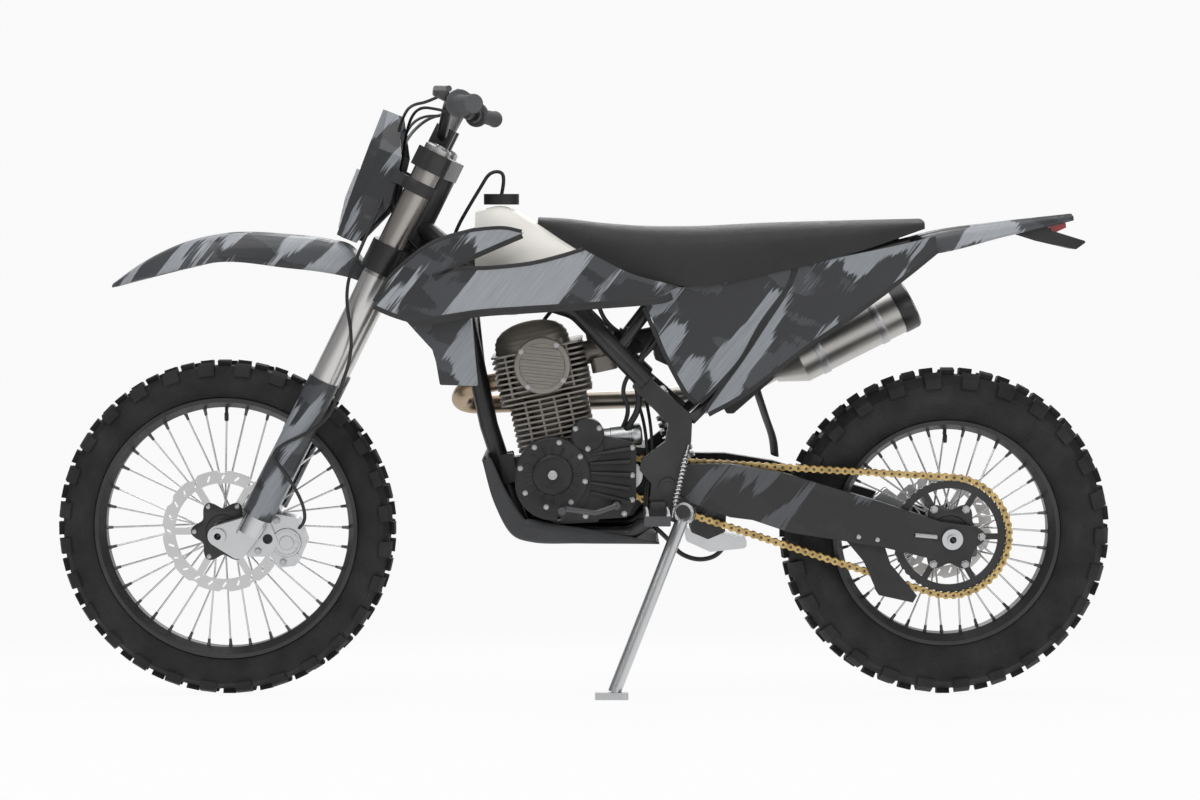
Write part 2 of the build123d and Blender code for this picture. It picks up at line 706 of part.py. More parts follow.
# Main frame: head tube, spars, downtube, cradle and pivot plates
SPAR_R = 20.0
DOWNTUBE_R = 19.0
RAIL_R = 14.0
PLATE_IN_Y = 106.0
PLATE_OUT_Y = 122.0
RAIL_Y = 84.0
RAIL_Z = 347.0
HANGER_Y = 15.0
HANGER_THICK = 8.0
PIVOT_PLATE = [
    (-118, 676), (-92, 650), (-166, 575), (-160, 540), (-112, 503), (-108, 482), (-132, 455),
    (-128, 384), (-178, 384), (-196, 470), (-212, 540), (-214, 592),
]
with BuildPart() as main_frame:
    rod(steer_point(0, 0, LOWER_CLAMP[1] + HEAD_GAP), steer_point(0, 0, UPPER_CLAMP[0] - HEAD_GAP), HEAD_TUBE_R)
    for side in (1, -1):
        tube(
            [
                steer_point(-10, side * 12, 735),
                (205, side * 46, 858),
                (20, side * 52, 800),
                (-125, side * 112, 655),
            ],
            SPAR_R,
            60,
        )
        plate(
            PIVOT_PLATE,
            PLATE_IN_Y if side > 0 else -PLATE_OUT_Y,
            PLATE_OUT_Y if side > 0 else -PLATE_IN_Y,
            5,
        )
        tube(
            [
                (150, side * 8, 405),
                (120, side * RAIL_Y, RAIL_Z),
                (-90, side * RAIL_Y, RAIL_Z),
                (-150, side * PLATE_IN_Y, 392),
            ],
            RAIL_R,
            30,
        )
    tube([steer_point(-12, 0, 740), (250, 0, 800), (200, 0, 560), (150, 0, 405)], DOWNTUBE_R, 60)
    # Lug that carries the side stand
    plate([(-150, 386), (-150, 430), (-190, 430), (-222, 405), (-220, 380), (-190, 372)], PLATE_IN_Y, PLATE_OUT_Y, 6)
    # Cross tubes: shock mount, under the tank, and behind the engine
    rod((-158, -110, 622), (-158, 110, 622), 12)
    rod((150, -73.7, 838), (150, 73.7, 838), 10)
    # Engine hangers on the downtube and the rails
    for y in (HANGER_Y, -HANGER_Y - HANGER_THICK):
        plate([(180, 500), (150, 505), (143, 470), (144, 446), (168, 440)], y, y + HANGER_THICK, 3)
    rod(
        steer_point(0, 0, LOWER_CLAMP[1] - 5),
        steer_point(0, 0, UPPER_CLAMP[0] + 5),
        STEM_R + FIT,
        mode=Mode.SUBTRACT,
    )
    # Swingarm pivot bolt with its heads
    rod((PIVOT_X, -PLATE_OUT_Y - 12, PIVOT_Z), (PIVOT_X, PLATE_OUT_Y + 12, PIVOT_Z), PIVOT_R)
    for side in (1, -1):
        rod((PIVOT_X, side * PLATE_OUT_Y, PIVOT_Z), (PIVOT_X, side * (PLATE_OUT_Y + 9), PIVOT_Z), 17)
    # Side stand pin with its head
    rod(STAND_PIVOT - stand_axis * STAND_PIN_IN, STAND_PIVOT + stand_axis * STAND_PIN_OUT, STAND_PIN_R)
    rod(STAND_PIVOT + stand_axis * 14, STAND_PIVOT + stand_axis * STAND_PIN_OUT, 14)
keep(main_frame, "main_frame")

# Swingarm, its pivot bolt and the rear axle
ARM_IN_Y = 85.0
ARM_OUT_Y = 104.0
# Arm outline: share of the way from pivot to axle, and height above that line
ARM_UPPER = [(-0.043, 19), (0.08, 51), (0.22, 66), (0.395, 69), (0.75, 47), (0.96, 30), (1.09, 34)]
ARM_LOWER = [(1.09, -26), (0.96, -50), (0.75, -44), (0.43, -50), (0.30, -39), (0.22, -42), (0.08, -27), (-0.043, -27)]


def along_arm(share, lift):
    """A side-plane point on the swingarm."""
    return (
        PIVOT_X + share * (REAR_AXLE.X - PIVOT_X),
        PIVOT_Z + share * (REAR_AXLE.Z - PIVOT_Z) + lift,
    )


ARM = [along_arm(share, lift) for share, lift in ARM_UPPER + ARM_LOWER]
AXLE_SLOT = 34.0
SHOCK_BAY = 38.0
with BuildPart() as swingarm:
    plate(ARM, ARM_IN_Y, ARM_OUT_Y, 6)
    plate(ARM, -ARM_OUT_Y, -ARM_IN_Y, 6)
    plate([(-180, 428), (-180, 480), (-310, 478), (-320, 428)], -ARM_IN_Y, ARM_IN_Y, 8)
    plate([(-187, 400), (-187, 520), (-286, 520), (-286, 400)], -SHOCK_BAY, SHOCK_BAY, mode=Mode.SUBTRACT)
    rod((PIVOT_X, -ARM_OUT_Y, PIVOT_Z), (PIVOT_X, ARM_OUT_Y, PIVOT_Z), 22)
    # Lugs for the linkage under the cross member
    for y in (SHOCK_BAY, -SHOCK_BAY - 12):
        plate([(-215, 430), (-215, 345), (-250, 330), (-285, 345), (-290, 430)], y, y + 12, 6)
    rod((PIVOT_X, -130, PIVOT_Z), (PIVOT_X, 130, PIVOT_Z), PIVOT_R + FIT, mode=Mode.SUBTRACT)
    with BuildSketch(side_plane(ARM_OUT_Y + 10)):
        with Locations((REAR_AXLE.X, REAR_AXLE.Z)):
            SlotOverall(AXLE_SLOT, 2 * (AXLE_R + FIT))
    extrude(amount=2 * (ARM_OUT_Y + 10), mode=Mode.SUBTRACT)
keep(swingarm, "swingarm")

with BuildPart() as rear_axle:
    reach = ARM_OUT_Y + 18
    rod((REAR_AXLE.X, -reach, REAR_AXLE.Z), (REAR_AXLE.X, reach, REAR_AXLE.Z), AXLE_R)
    for side in (1, -1):
        rod(
            (REAR_AXLE.X, side * (ARM_OUT_Y + FIT), REAR_AXLE.Z),
            (REAR_AXLE.X, side * (ARM_OUT_Y + 12), REAR_AXLE.Z),
            21,
        )
        rod(
            (REAR_AXLE.X, side * (WHEELS[1][7] + FIT), REAR_AXLE.Z),
            (REAR_AXLE.X, side * (ARM_IN_Y - FIT), REAR_AXLE.Z),
            17,
        )
    rod((REAR_AXLE.X, -reach, REAR_AXLE.Z), (REAR_AXLE.X, reach, REAR_AXLE.Z), AXLE_BORE_R, mode=Mode.SUBTRACT)
keep(rear_axle, "rear_axle")

# Chain guide: a cheek on each side of the lower run, joined under it, hung from the left arm
GUIDE_IN_Y = 58.0
GUIDE_OUT_Y = 89.0
GUIDE_SKIN = 4.0
GUIDE = [(0.61, -34), (0.70, -86), (0.75, -146), (0.87, -148), (0.885, -132), (0.79, -78), (0.76, -30)]
GUIDE_FLOOR = [(0.74, -138), (0.75, -146), (0.87, -148), (0.878, -140)]
with BuildPart() as chain_guide:
    for y in (GUIDE_IN_Y, GUIDE_OUT_Y - GUIDE_SKIN):
        plate([along_arm(*point) for point in GUIDE], y, y + GUIDE_SKIN)
    plate([along_arm(*point) for point in GUIDE_FLOOR], GUIDE_IN_Y, GUIDE_OUT_Y)
    add(swingarm.part, mode=Mode.SUBTRACT)
keep(chain_guide, "chain_guide")

# Rear caliper: straddles the disc and bolts to the inside of the right arm
REAR_DISC_Y = -60.0
with BuildPart() as rear_caliper:
    plate([along_arm(*point) for point in [(0.90, 30), (0.80, 62), (0.75, 30), (0.80, 0), (0.87, 0)]], -84, -40, 5)
    plate(
        [along_arm(*point) for point in [(1.02, -15), (1.02, 70), (0.74, 75), (0.81, -12)]],
        REAR_DISC_Y - 6,
        REAR_DISC_Y + 6,
        mode=Mode.SUBTRACT,
    )
    plate([along_arm(*point) for point in [(0.90, 30), (0.80, 55), (0.75, 30), (0.80, 0)]], -ARM_IN_Y + FIT, -72)
keep(rear_caliper, "rear_caliper")

# Drive chain and front sprocket
DRIVE_CENTRE = Vector(DRIVE_SPROCKET_X, 0, DRIVE_SPROCKET_Z)


def chain_tangent(side):
    """Ends of the chain's upper (+1) or lower (-1) straight run, as side-plane points."""
    run = Vector(DRIVE_CENTRE.X - REAR_AXLE.X, DRIVE_CENTRE.Z - REAR_AXLE.Z)
    span = run.length
    along = run / span
    across = Vector(-along.Y, along.X) * side
    lift = (REAR_PITCH_R - DRIVE_PITCH_R) / span
    normal = across * (1 - lift**2) ** 0.5 + along * lift
    rear = Vector(REAR_AXLE.X, REAR_AXLE.Z) + normal * REAR_PITCH_R
    front = Vector(DRIVE_CENTRE.X, DRIVE_CENTRE.Z) + normal * DRIVE_PITCH_R
    return rear, front


upper_rear, upper_front = chain_tangent(1)
lower_rear, lower_front = chain_tangent(-1)
behind = Vector(REAR_AXLE.X - REAR_PITCH_R, REAR_AXLE.Z)
ahead = Vector(DRIVE_CENTRE.X + DRIVE_PITCH_R, DRIVE_CENTRE.Z)
with BuildLine() as pitch_line:
    Line(upper_rear, upper_front)
    ThreePointArc(upper_front, ahead, lower_front)
    Line(lower_front, lower_rear)
    ThreePointArc(lower_rear, behind, upper_rear)
pitch_loop = pitch_line.wire()
link_count = 2 * round(pitch_loop.length / CHAIN_PITCH / 2)
pins = [pitch_loop @ (number / link_count) for number in range(link_count)]
# Layers across the chain: lower and upper y from its middle, half height of the band, radius at the pins
PLATE_WAIST = 4.2
PLATE_R = 7.2
CHAIN_LAYERS = [
    (-CHAIN_HALF_WIDTH, -4.5, PLATE_WAIST, PLATE_R),
    (-4.5, 4.5, ROLLER_R, 0.0),
    (4.5, CHAIN_HALF_WIDTH, PLATE_WAIST, PLATE_R),
]
with BuildPart() as drive_chain:
    for low_y, high_y, half_height, pin_r in CHAIN_LAYERS:
        with BuildSketch(side_plane(CHAIN_Y + high_y)):
            make_face(pitch_loop.edges())
            offset(amount=half_height, kind=Kind.ARC)
            with BuildLine():
                offset(pitch_loop, amount=-half_height)
            make_face(mode=Mode.SUBTRACT)
            if pin_r > 0:
                with Locations(*pins):
                    Circle(pin_r)
        extrude(amount=high_y - low_y)
keep(drive_chain, "drive_chain")

with BuildPart() as drive_sprocket:
    with BuildSketch(side_plane(CHAIN_Y + SPROCKET_THICK / 2)):
        with Locations((DRIVE_CENTRE.X, DRIVE_CENTRE.Z)):
            Circle(DRIVE_PITCH_R - ROLLER_R - FIT)
    extrude(amount=SPROCKET_THICK)
    rod((DRIVE_CENTRE.X, 56, DRIVE_CENTRE.Z), (DRIVE_CENTRE.X, CHAIN_Y + 10, DRIVE_CENTRE.Z), 13)
keep(drive_sprocket, "drive_sprocket")

# Engine: crankcase between the frame's hangers, covers on its sides, cylinder on its upper face
CHAIN_ROOM = 12.0
CASE_HALF = CHAIN_Y + CHAIN_HALF_WIDTH + CHAIN_ROOM
GEARBOX_LEFT_Y = 56.0
CYL_LEAN = radians(12.0)
CYL = Plane(origin=(55, 0, 512), x_dir=(cos(CYL_LEAN), 0, -sin(CYL_LEAN)), z_dir=(sin(CYL_LEAN), 0, cos(CYL_LEAN)))


def on_deck(x):
    """The height of the crankcase's upper face at x."""
    return 512 - (x - 55) * tan(CYL_LEAN)


with BuildPart() as crankcase:
    plate(
        [(138, 440), (134, on_deck(134)), (-34, on_deck(-34)), (-34, 388), (-24, 372), (60, 368), (118, 405)],
        -CASE_HALF,
        CASE_HALF,
    )
    plate(
        [(-30, on_deck(-30)), (-128, 518), (-128, 425), (-95, 380), (-30, 375)],
        -CASE_HALF,
        GEARBOX_LEFT_Y,
        6,
    )
    # Hanger lug between the frame's plates
    plate([(152, 494), (120, 500), (120, 446), (142, 452)], -HANGER_Y, HANGER_Y, 3)
    # Starter motor on the deck behind the cylinder
    rod((-112, 58, 548), (-38, 58, 540), 21)
keep(crankcase, "crankcase")

COVER_DEPTH = 22.0
COVER_OUT = CASE_HALF + COVER_DEPTH
with BuildPart() as engine_covers:
    plate(
        [(138, 440), (128, 492), (50, 512), (20, 556), (-30, 552), (-102, 534), (-102, 418), (-84, 384), (56, 376), (118, 410)],
        CASE_HALF,
        COVER_OUT - 6,
        8,
    )
    with BuildSketch(side_plane(COVER_OUT)):
        with Locations((66, 455)):
            Circle(76)
        with Locations((-6, 528)):
            Circle(30)
    extrude(amount=COVER_OUT - CASE_HALF - 4)
    plate(
        [(138, 440), (128, 492), (50, 512), (-60, 520), (-110, 480), (-100, 400), (-60, 384), (56, 376), (118, 410)],
        -COVER_OUT,
        -CASE_HALF,
        10,
    )
keep(engine_covers, "engine_covers")

BARREL_R = 50.0
FIN_THICK = 3.6
FIN_PITCH = 11.0
BARREL_TOP = 128.0
HEAD_TOP = 226.0
COVER_TOP = 261.0
COVER_LONG = 134.0
COVER_WIDE = 122.0
COVER_CORNER = 40.0
COVER_CROWN = 28.0
HEAD_HALF = 60.0
BARREL_FIN = 80.0
HEAD_FIN = 94.0
PORT_HEIGHT = 168.0
INTAKE_R = 24.0
PIPE_R = 19.0
PORT_Y = -44.0
with BuildPart() as cylinder:
    with BuildSketch(CYL):
        Circle(BARREL_R)
    extrude(amount=BARREL_TOP)
    with BuildSketch(CYL.offset(BARREL_TOP)):
        RectangleRounded(2 * HEAD_HALF, 2 * HEAD_HALF, 12)
    extrude(amount=HEAD_TOP - BARREL_TOP)
    fin_count = int((HEAD_TOP - 14) / FIN_PITCH)
    for number in range(fin_count):
        height = 14 + number * FIN_PITCH
        reach = BARREL_FIN if height < BARREL_TOP - 20 else HEAD_FIN
        with BuildSketch(CYL.offset(height)):
            RectangleRounded(2 * reach, 2 * reach - 4, 22)
        extrude(amount=FIN_THICK)
    with BuildSketch(CYL.offset(HEAD_TOP)):
        with Locations((10, 0)):
            RectangleRounded(COVER_LONG, COVER_WIDE, COVER_CORNER)
    extrude(amount=COVER_TOP - HEAD_TOP)
    crown = cylinder.faces().sort_by(Axis(CYL.origin, CYL.z_dir))[-1]
    fillet(crown.edges(), min(COVER_CROWN, 0.8 * (COVER_TOP - HEAD_TOP)))
    # Round cover on the left of the head
    with BuildSketch(side_plane(HEAD_FIN + 6)):
        with Locations((CYL.origin.X + 32, CYL.origin.Z + 178)):
            Circle(48)
    extrude(amount=50)
    rod(CYL.from_local_coords((-HEAD_HALF, 0, PORT_HEIGHT + 14)), CYL.from_local_coords((-130, 0, PORT_HEIGHT + 14)), INTAKE_R + 2, mode=Mode.SUBTRACT)
    rod(CYL.from_local_coords((HEAD_HALF, PORT_Y, PORT_HEIGHT - 10)), CYL.from_local_coords((130, PORT_Y, PORT_HEIGHT - 10)), PIPE_R + 3, mode=Mode.SUBTRACT)
keep(cylinder, "cylinder")

# Slide body, float bowl and top cap on the intake
CARB_BACK = 126.0
CARB_R = 24.0
CARB_TOP = 43.0
CARB_BOWL = 30.0
carb_foot = CYL.from_local_coords((-CARB_BACK, 0, PORT_HEIGHT + 14 - CARB_TOP))
with BuildPart() as carburettor:
    rod(CYL.from_local_coords((-HEAD_HALF, 0, PORT_HEIGHT + 14)), CYL.from_local_coords((-190, 0, PORT_HEIGHT + 14)), INTAKE_R)
    with BuildSketch(Plane(origin=carb_foot, z_dir=CYL.z_dir, x_dir=CYL.x_dir)):
        RectangleRounded(2 * CARB_R + 4, 2 * CARB_R + 18, 12)
    extrude(amount=CARB_BOWL)
    with BuildSketch(Plane(origin=carb_foot, z_dir=CYL.z_dir, x_dir=CYL.x_dir)):
        Circle(CARB_R)
    extrude(amount=2 * CARB_TOP)
keep(carburettor, "carburettor")

# Exhaust
MUFFLER_R = 52.0
MUFFLER_START = Vector(-400, -178, 655)
MUFFLER_END = Vector(-690, -182, 803)
muffler_run = (MUFFLER_END - MUFFLER_START).normalized()
port = CYL.from_local_coords((HEAD_HALF, PORT_Y, PORT_HEIGHT - 10))
with BuildPart() as exhaust_header:
    tube(
        [
            port,
            CYL.from_local_coords((168, PORT_Y, PORT_HEIGHT - 10)),
            (272, -118, 590),
            (120, -148, 592),
            (-120, -150, 600),
            MUFFLER_START - muffler_run * 80,
            MUFFLER_START,
        ],
        PIPE_R,
        40,
    )
keep(exhaust_header, "exhaust_header")
with BuildPart() as muffler:
    with BuildSketch(Plane(origin=MUFFLER_START, z_dir=muffler_run)):
        Circle(PIPE_R + 4)
    with BuildSketch(Plane(origin=MUFFLER_START + muffler_run * 60, z_dir=muffler_run)):
        Circle(MUFFLER_R)
    loft()
    rod(MUFFLER_START + muffler_run * 60, MUFFLER_END, MUFFLER_R)
    rod(MUFFLER_END - muffler_run * 50, MUFFLER_END, 16, mode=Mode.SUBTRACT)
keep(muffler, "muffler")


# Body panels: bowed skins, cut to a side outline
PANEL_BASE = 500.0
PANEL_TOP = 1020.0
PANEL_REACH = 260.0
PANEL_SKIN = 4.0
PANEL_OUTSIDE = 80.0
STANDOFF_REACH = 180.0


def skin_band(plan, lean_in, inside, outside):
    """Returns a wall that bows along x in plan and leans in toward the top, between two distances from the plan."""
    inner = [(x, y - inside) for x, y in plan]
    outer = [(x, y + outside) for x, y in plan]
    with BuildPart() as wall:
        with BuildSketch(Plane.XY.offset(PANEL_BASE)) as band:
            with BuildLine():
                ThreePointArc(*outer)
                Line(outer[2], inner[2])
                ThreePointArc(*reversed(inner))
                Line(inner[0], outer[0])
            make_face()
        extrude(band.sketch, amount=PANEL_TOP - PANEL_BASE, dir=(0, -lean_in, 1))
    return wall.part


def curved_panel(runs, plan, lean_in):
    """Returns a left body panel: a side outline cut out of a bowed skin.

    The outline's runs meet end to end: two points make a line, more make a spline.
    """
    with BuildPart() as shell:
        add(skin_band(plan, lean_in, PANEL_SKIN, 0.0))
        with BuildSketch(side_plane(PANEL_REACH)) as outline:
            with BuildLine():
                for run in runs:
                    if len(run) > 2:
                        Spline(*run)
                    else:
                        Line(*run)
            make_face()
        extrude(outline.sketch, amount=PANEL_REACH, mode=Mode.INTERSECT)
    return shell.part


SHROUD_PLAN = [(440, 202), (120, 176), (-230, 142)]
SHROUD_LEAN = 0.06

# Seat and tank share stations: x, seat top z, seat half width, seam z where the seat's base lies
SEAT = [
    (98.0, 986.0, 34.0, 977.0),
    (51.0, 985.0, 56.0, 949.0),
    (-29.0, 976.0, 84.0, 904.0),
    (-109.0, 970.0, 104.0, 872.0),
    (-220.0, 969.0, 122.0, 858.0),
    (-348.0, 975.0, 122.0, 879.0),
    (-547.0, 981.0, 112.0, 926.0),
    (-678.0, 985.0, 84.0, 966.0),
]
with BuildPart() as seat:
    ribbon_loft(
        [
            (
                x,
                [
                    (half_width, base),
                    (half_width, base + (top - base) * 0.6),
                    (half_width * 0.72, top),
                    (-half_width * 0.72, top),
                    (-half_width, base + (top - base) * 0.6),
                    (-half_width, base),
                ],
            )
            for x, top, half_width, base in SEAT
        ],
        cross_plane,
    )
keep(seat, "seat")

# Tank: x, top z, half width at the top, widest half width, its z, lower z, lower half width
TANK = [
    (222.0, 1000.0, 52.0, 82.0, 950.0, 868.0, 80.0),
    (170.0, 1010.0, 58.0, 108.0, 930.0, 800.0, 104.0),
    (98.0, 977.0 - FIT, 60.0, 118.0, 900.0, 804.0, 112.0),
    (51.0, 949.0 - FIT, 66.0, 118.0, 890.0, 812.0, 112.0),
    (-29.0, 904.0 - FIT, 84.0, 112.0, 870.0, 812.0, 108.0),
    (-70.0, 887.6 - FIT, 90.0, 108.0, 860.0, 816.0, 104.0),
]
TUNNEL = [(300, 946), (205, 902), (20, 832), (-130, 768), (-130, 600), (300, 600)]
TUNNEL_HALF = 74.0
with BuildPart() as fuel_tank:
    ribbon_loft(
        [
            (
                x,
                [
                    (low_half, low),
                    (wide, wide_z),
                    (top_half, top),
                    (-top_half, top),
                    (-wide, wide_z),
                    (-low_half, low),
                ],
            )
            for x, top, top_half, wide, wide_z, low, low_half in TANK
        ],
        cross_plane,
    )
    plate(TUNNEL, -TUNNEL_HALF, TUNNEL_HALF, mode=Mode.SUBTRACT)
    rod((172, 0, 995), (172, 0, 1012), 40)
keep(fuel_tank, "fuel_tank")
with BuildPart() as fuel_cap:
    rod((172, 0, 1012 + FIT), (172, 0, 1034), 36)
keep(fuel_cap, "fuel_cap")

# Shrouds on the tank's sides: an upper spear and a lower blade that open from a common nose
SHROUD = [
    [(416, 817), (376, 876), (307, 932), (237, 957), (168, 965), (121, 957)],
    [(121, 957), (208, 920), (257, 897), (306, 868)],
    [(306, 868), (250, 884), (188, 886), (110, 894), (50, 908), (1, 923)],
    [(1, 923), (-45, 898), (-92, 876), (-140, 862), (-187, 850)],
    [(-187, 850), (-138, 829)],
    [(-138, 829), (1, 819), (120, 812), (209, 806), (290, 794), (337, 787)],
    [(337, 787), (377, 800), (416, 817)],
]
# Spacers between tank and shroud: x, and y where each ends at the shroud's skin
SHROUD_SPACERS = [(-20, 136.95), (120, 149.85)]
with BuildPart() as tank_shrouds:
    for x, reach in SHROUD_SPACERS:
        rod((x, 90, 850), (x, reach, 850), 9)
    add(fuel_tank.part, mode=Mode.SUBTRACT)
    add(curved_panel(SHROUD, SHROUD_PLAN, SHROUD_LEAN))
    mirror(about=Plane.XZ)
keep(tank_shrouds, "tank_shrouds")

# Radiators beside the downtube and their side guards
RADIATOR_IN_Y = 40.0
RADIATOR_OUT_Y = 140.0
RADIATOR = [(326, 800), (232, 800), (220, 662), (286, 662)]
with BuildPart() as radiators:
    plate(RADIATOR, RADIATOR_IN_Y, RADIATOR_OUT_Y, 6)
    # Bracket to the downtube
    rod((240, 8, 740), (240, RADIATOR_IN_Y + 2, 740), 9)
    add(main_frame.part, mode=Mode.SUBTRACT)
    mirror(about=Plane.XZ)
keep(radiators, "radiators")
with BuildPart() as radiator_guards:
    plate(
        [(367, 796), (327, 788), (228, 798), (213, 654), (289, 656), (300, 722)],
        RADIATOR_OUT_Y + FIT,
        RADIATOR_OUT_Y + 10,
        4,
    )
    mirror(about=Plane.XZ)
keep(radiator_guards, "radiator_guards")

# Subframe under the seat
SUB_R = 11.0
SUB_RAIL = [(-66, 84, 722), (-150, 80, 831), (-348, 84, 866), (-547, 84, 913), (-650, 66, 937)]
with BuildPart() as subframe:
    for side in (1, -1):
        tube([(x, side * y, z) for x, y, z in SUB_RAIL], SUB_R, 40)
        tube([(-211, side * 114, 583), (-240, side * 100, 610), (-530, side * 88, 900)], SUB_R, 20)
    rod((-600, -76, 924), (-600, 76, 924), 8)
    add(main_frame.part, mode=Mode.SUBTRACT)
keep(subframe, "subframe")

# Side panels: a front and a rear piece with an open slot between them
PANEL_PLAN = [(-100, 116), (-420, 132), (-730, 106)]
PANEL_LEAN = 0.04
PANEL_FRONT = [
    [(-119, 812), (-134, 830), (-150, 846)],
    [(-150, 846), (-230, 853), (-340, 873), (-413, 893)],
    [(-413, 893), (-398, 850), (-348, 780), (-309, 710), (-262, 655), (-224, 618)],
    [(-224, 618), (-200, 645), (-160, 720), (-119, 812)],
]
PANEL_REAR = [
    [(-426, 893), (-526, 912), (-625, 932), (-700, 950)],
    [(-700, 950), (-704, 923)],
    [(-704, 923), (-635, 870), (-540, 800), (-438, 730), (-319, 640), (-240, 596)],
    [(-240, 596), (-276, 648), (-318, 706), (-366, 780), (-410, 850), (-426, 893)],
]
with BuildPart() as side_panels:
    # Standoffs to the subframe, ending inside the skin
    for x, z in ((-210, 841), (-560, 910)):
        rod((x, 82, z), (x, STANDOFF_REACH, z), 7)
    add(skin_band(PANEL_PLAN, PANEL_LEAN, PANEL_SKIN / 2, PANEL_OUTSIDE), mode=Mode.SUBTRACT)
    add(curved_panel(PANEL_FRONT, PANEL_PLAN, PANEL_LEAN))
    add(curved_panel(PANEL_REAR, PANEL_PLAN, PANEL_LEAN))
    add(subframe.part, mode=Mode.SUBTRACT)
    mirror(about=Plane.XZ)
keep(side_panels, "side_panels")

# Rear fender and tail: x, top z, half width, side drop
TAIL_SKIN = 4.0
TAIL = [
    (-632.0, 938.0, 74.0, 26.0),
    (-700.0, 957.0, 78.0, 40.0),
    (-846.0, 978.0, 66.0, 26.0),
    (-990.0, 995.0, 34.0, 10.0),
]
with BuildPart() as rear_fender:
    ribbon_loft(
        [((x, z), arch(half_width, drop, TAIL_SKIN)) for x, z, half_width, drop in TAIL],
        lambda station: cross_plane(*station),
    )
    add(subframe.part, mode=Mode.SUBTRACT)
keep(rear_fender, "rear_fender")

# Tail light under the fender's tip, and the forked plate bracket that hangs behind it
with BuildPart() as tail_light:
    plate([(-932, 985), (-972, 990), (-976, 966), (-950, 954)], -24, 24)
    add(rear_fender.part, mode=Mode.SUBTRACT)
keep(tail_light, "tail_light")
with BuildPart() as plate_bracket:
    for y in (31, -37):
        plate(
            [(-850, 975), (-930, 979), (-938, 962), (-1016, 938), (-994, 922), (-925, 938), (-862, 958)],
            y,
            y + 6,
            3,
        )
    plate([(-974, 944), (-1016, 938), (-994, 922), (-960, 930)], -32, 32, 2)
    add(rear_fender.part, mode=Mode.SUBTRACT)
keep(plate_bracket, "plate_bracket")

# Air box with the mud flap in front of the rear wheel
with BuildPart() as air_box:
    boot = CYL.from_local_coords((-190, 0, PORT_HEIGHT + 14))
    plate(
        [(-140, 700), (-140, 830), (-200, 845), (-400, 880), (-420, 800), (-380, 660), (-300, 590), (-285, 590), (-270, 640)],
        -62,
        62,
        6,
    )
    rod(boot, CYL.from_local_coords((-250, 0, PORT_HEIGHT + 14)), INTAKE_R)
keep(air_box, "air_box")

# Rear suspension: linkage under the swingarm, and the shock absorber with its spring
with BuildPart() as suspension_link:
    plate([(-205, 352), (-330, 330), (-330, 310), (-255, 302), (-205, 325)], -SHOCK_BAY + FIT, SHOCK_BAY - FIT, 8)
keep(suspension_link, "suspension_link")
SHOCK_TOP = Vector(-156, 0, 626)
SHOCK_FOOT = Vector(-248, 0, 338)
SPRING_R = 27.0
SPRING_WIRE = 8.0
SPRING_FROM = 160.0
SPRING_COILS = 7
SPRING_PITCH = 15.0
with BuildPart() as shock_absorber:
    shock_run = (SHOCK_TOP - SHOCK_FOOT).normalized()
    rod(SHOCK_FOOT, SHOCK_TOP, 14)
    rod(SHOCK_FOOT + shock_run * SPRING_FROM, SHOCK_FOOT + shock_run * (SPRING_FROM + 104), 20)
    for coil in range(SPRING_COILS):
        height = SPRING_FROM + coil * SPRING_PITCH
        rod(SHOCK_FOOT + shock_run * height, SHOCK_FOOT + shock_run * (height + SPRING_WIRE), SPRING_R)
    add(main_frame.part, mode=Mode.SUBTRACT)
    add(suspension_link.part, mode=Mode.SUBTRACT)
keep(shock_absorber, "shock_absorber")

# Skid plate under the cradle: a bent floor and two side walls
SKID_IN_Y = RAIL_Y + RAIL_R + 1.0
SKID_WALL = 4.0
with BuildPart() as skid_plate:
    plate(
        [
            (211, 500), (183, 405), (150, 337), (122, 327), (-150, 327), (-150, 332.5), (118, 332.5), (144, 341),
            (177, 407), (206, 500),
        ],
        -SKID_IN_Y - SKID_WALL,
        SKID_IN_Y + SKID_WALL,
    )
    for y in (SKID_IN_Y, -SKID_IN_Y - SKID_WALL):
        plate(
            [
                (208, 500), (180, 406), (147, 339), (120, 329), (-148, 329), (-70, 348), (52, 364), (112, 392),
                (142, 424), (178, 470),
            ],
            y,
            y + SKID_WALL,
        )
keep(skid_plate, "skid_plate")

# Foot controls
PEG_Y = 228.0
with BuildPart() as footpegs:
    plate([(-116, 384), (-116, 404), (-168, 404), (-168, 384)], PLATE_OUT_Y + 6, PEG_Y, 3)
    plate([(-130, 384), (-130, 420), (-160, 420), (-160, 384)], PLATE_OUT_Y + FIT, PLATE_OUT_Y + 20, 4)
    mirror(about=Plane.XZ)
keep(footpegs, "footpegs")

# Gear lever on the left, brake pedal on the right
with BuildPart() as foot_levers:
    rod((-62, COVER_OUT - 6 + FIT, 412), (-62, COVER_OUT + 24, 412), 8)
    tube([(-62, COVER_OUT + 20, 412), (-20, COVER_OUT + 24, 398), (46, COVER_OUT + 32, 408)], 6, 20)
    rod((46, COVER_OUT + 26, 408), (46, COVER_OUT + 72, 408), 8)
    rod((-138, -PLATE_OUT_Y - FIT, 476), (-138, -146, 476), 9)
    tube([(-138, -140, 476), (-60, -142, 392), (60, -150, 382)], 6, 20)
    rod((60, -145, 382), (60, -190, 382), 9)
keep(foot_levers, "foot_levers")

# Side stand
STAND_R = 13.0
SOLE_THICK = 14.0
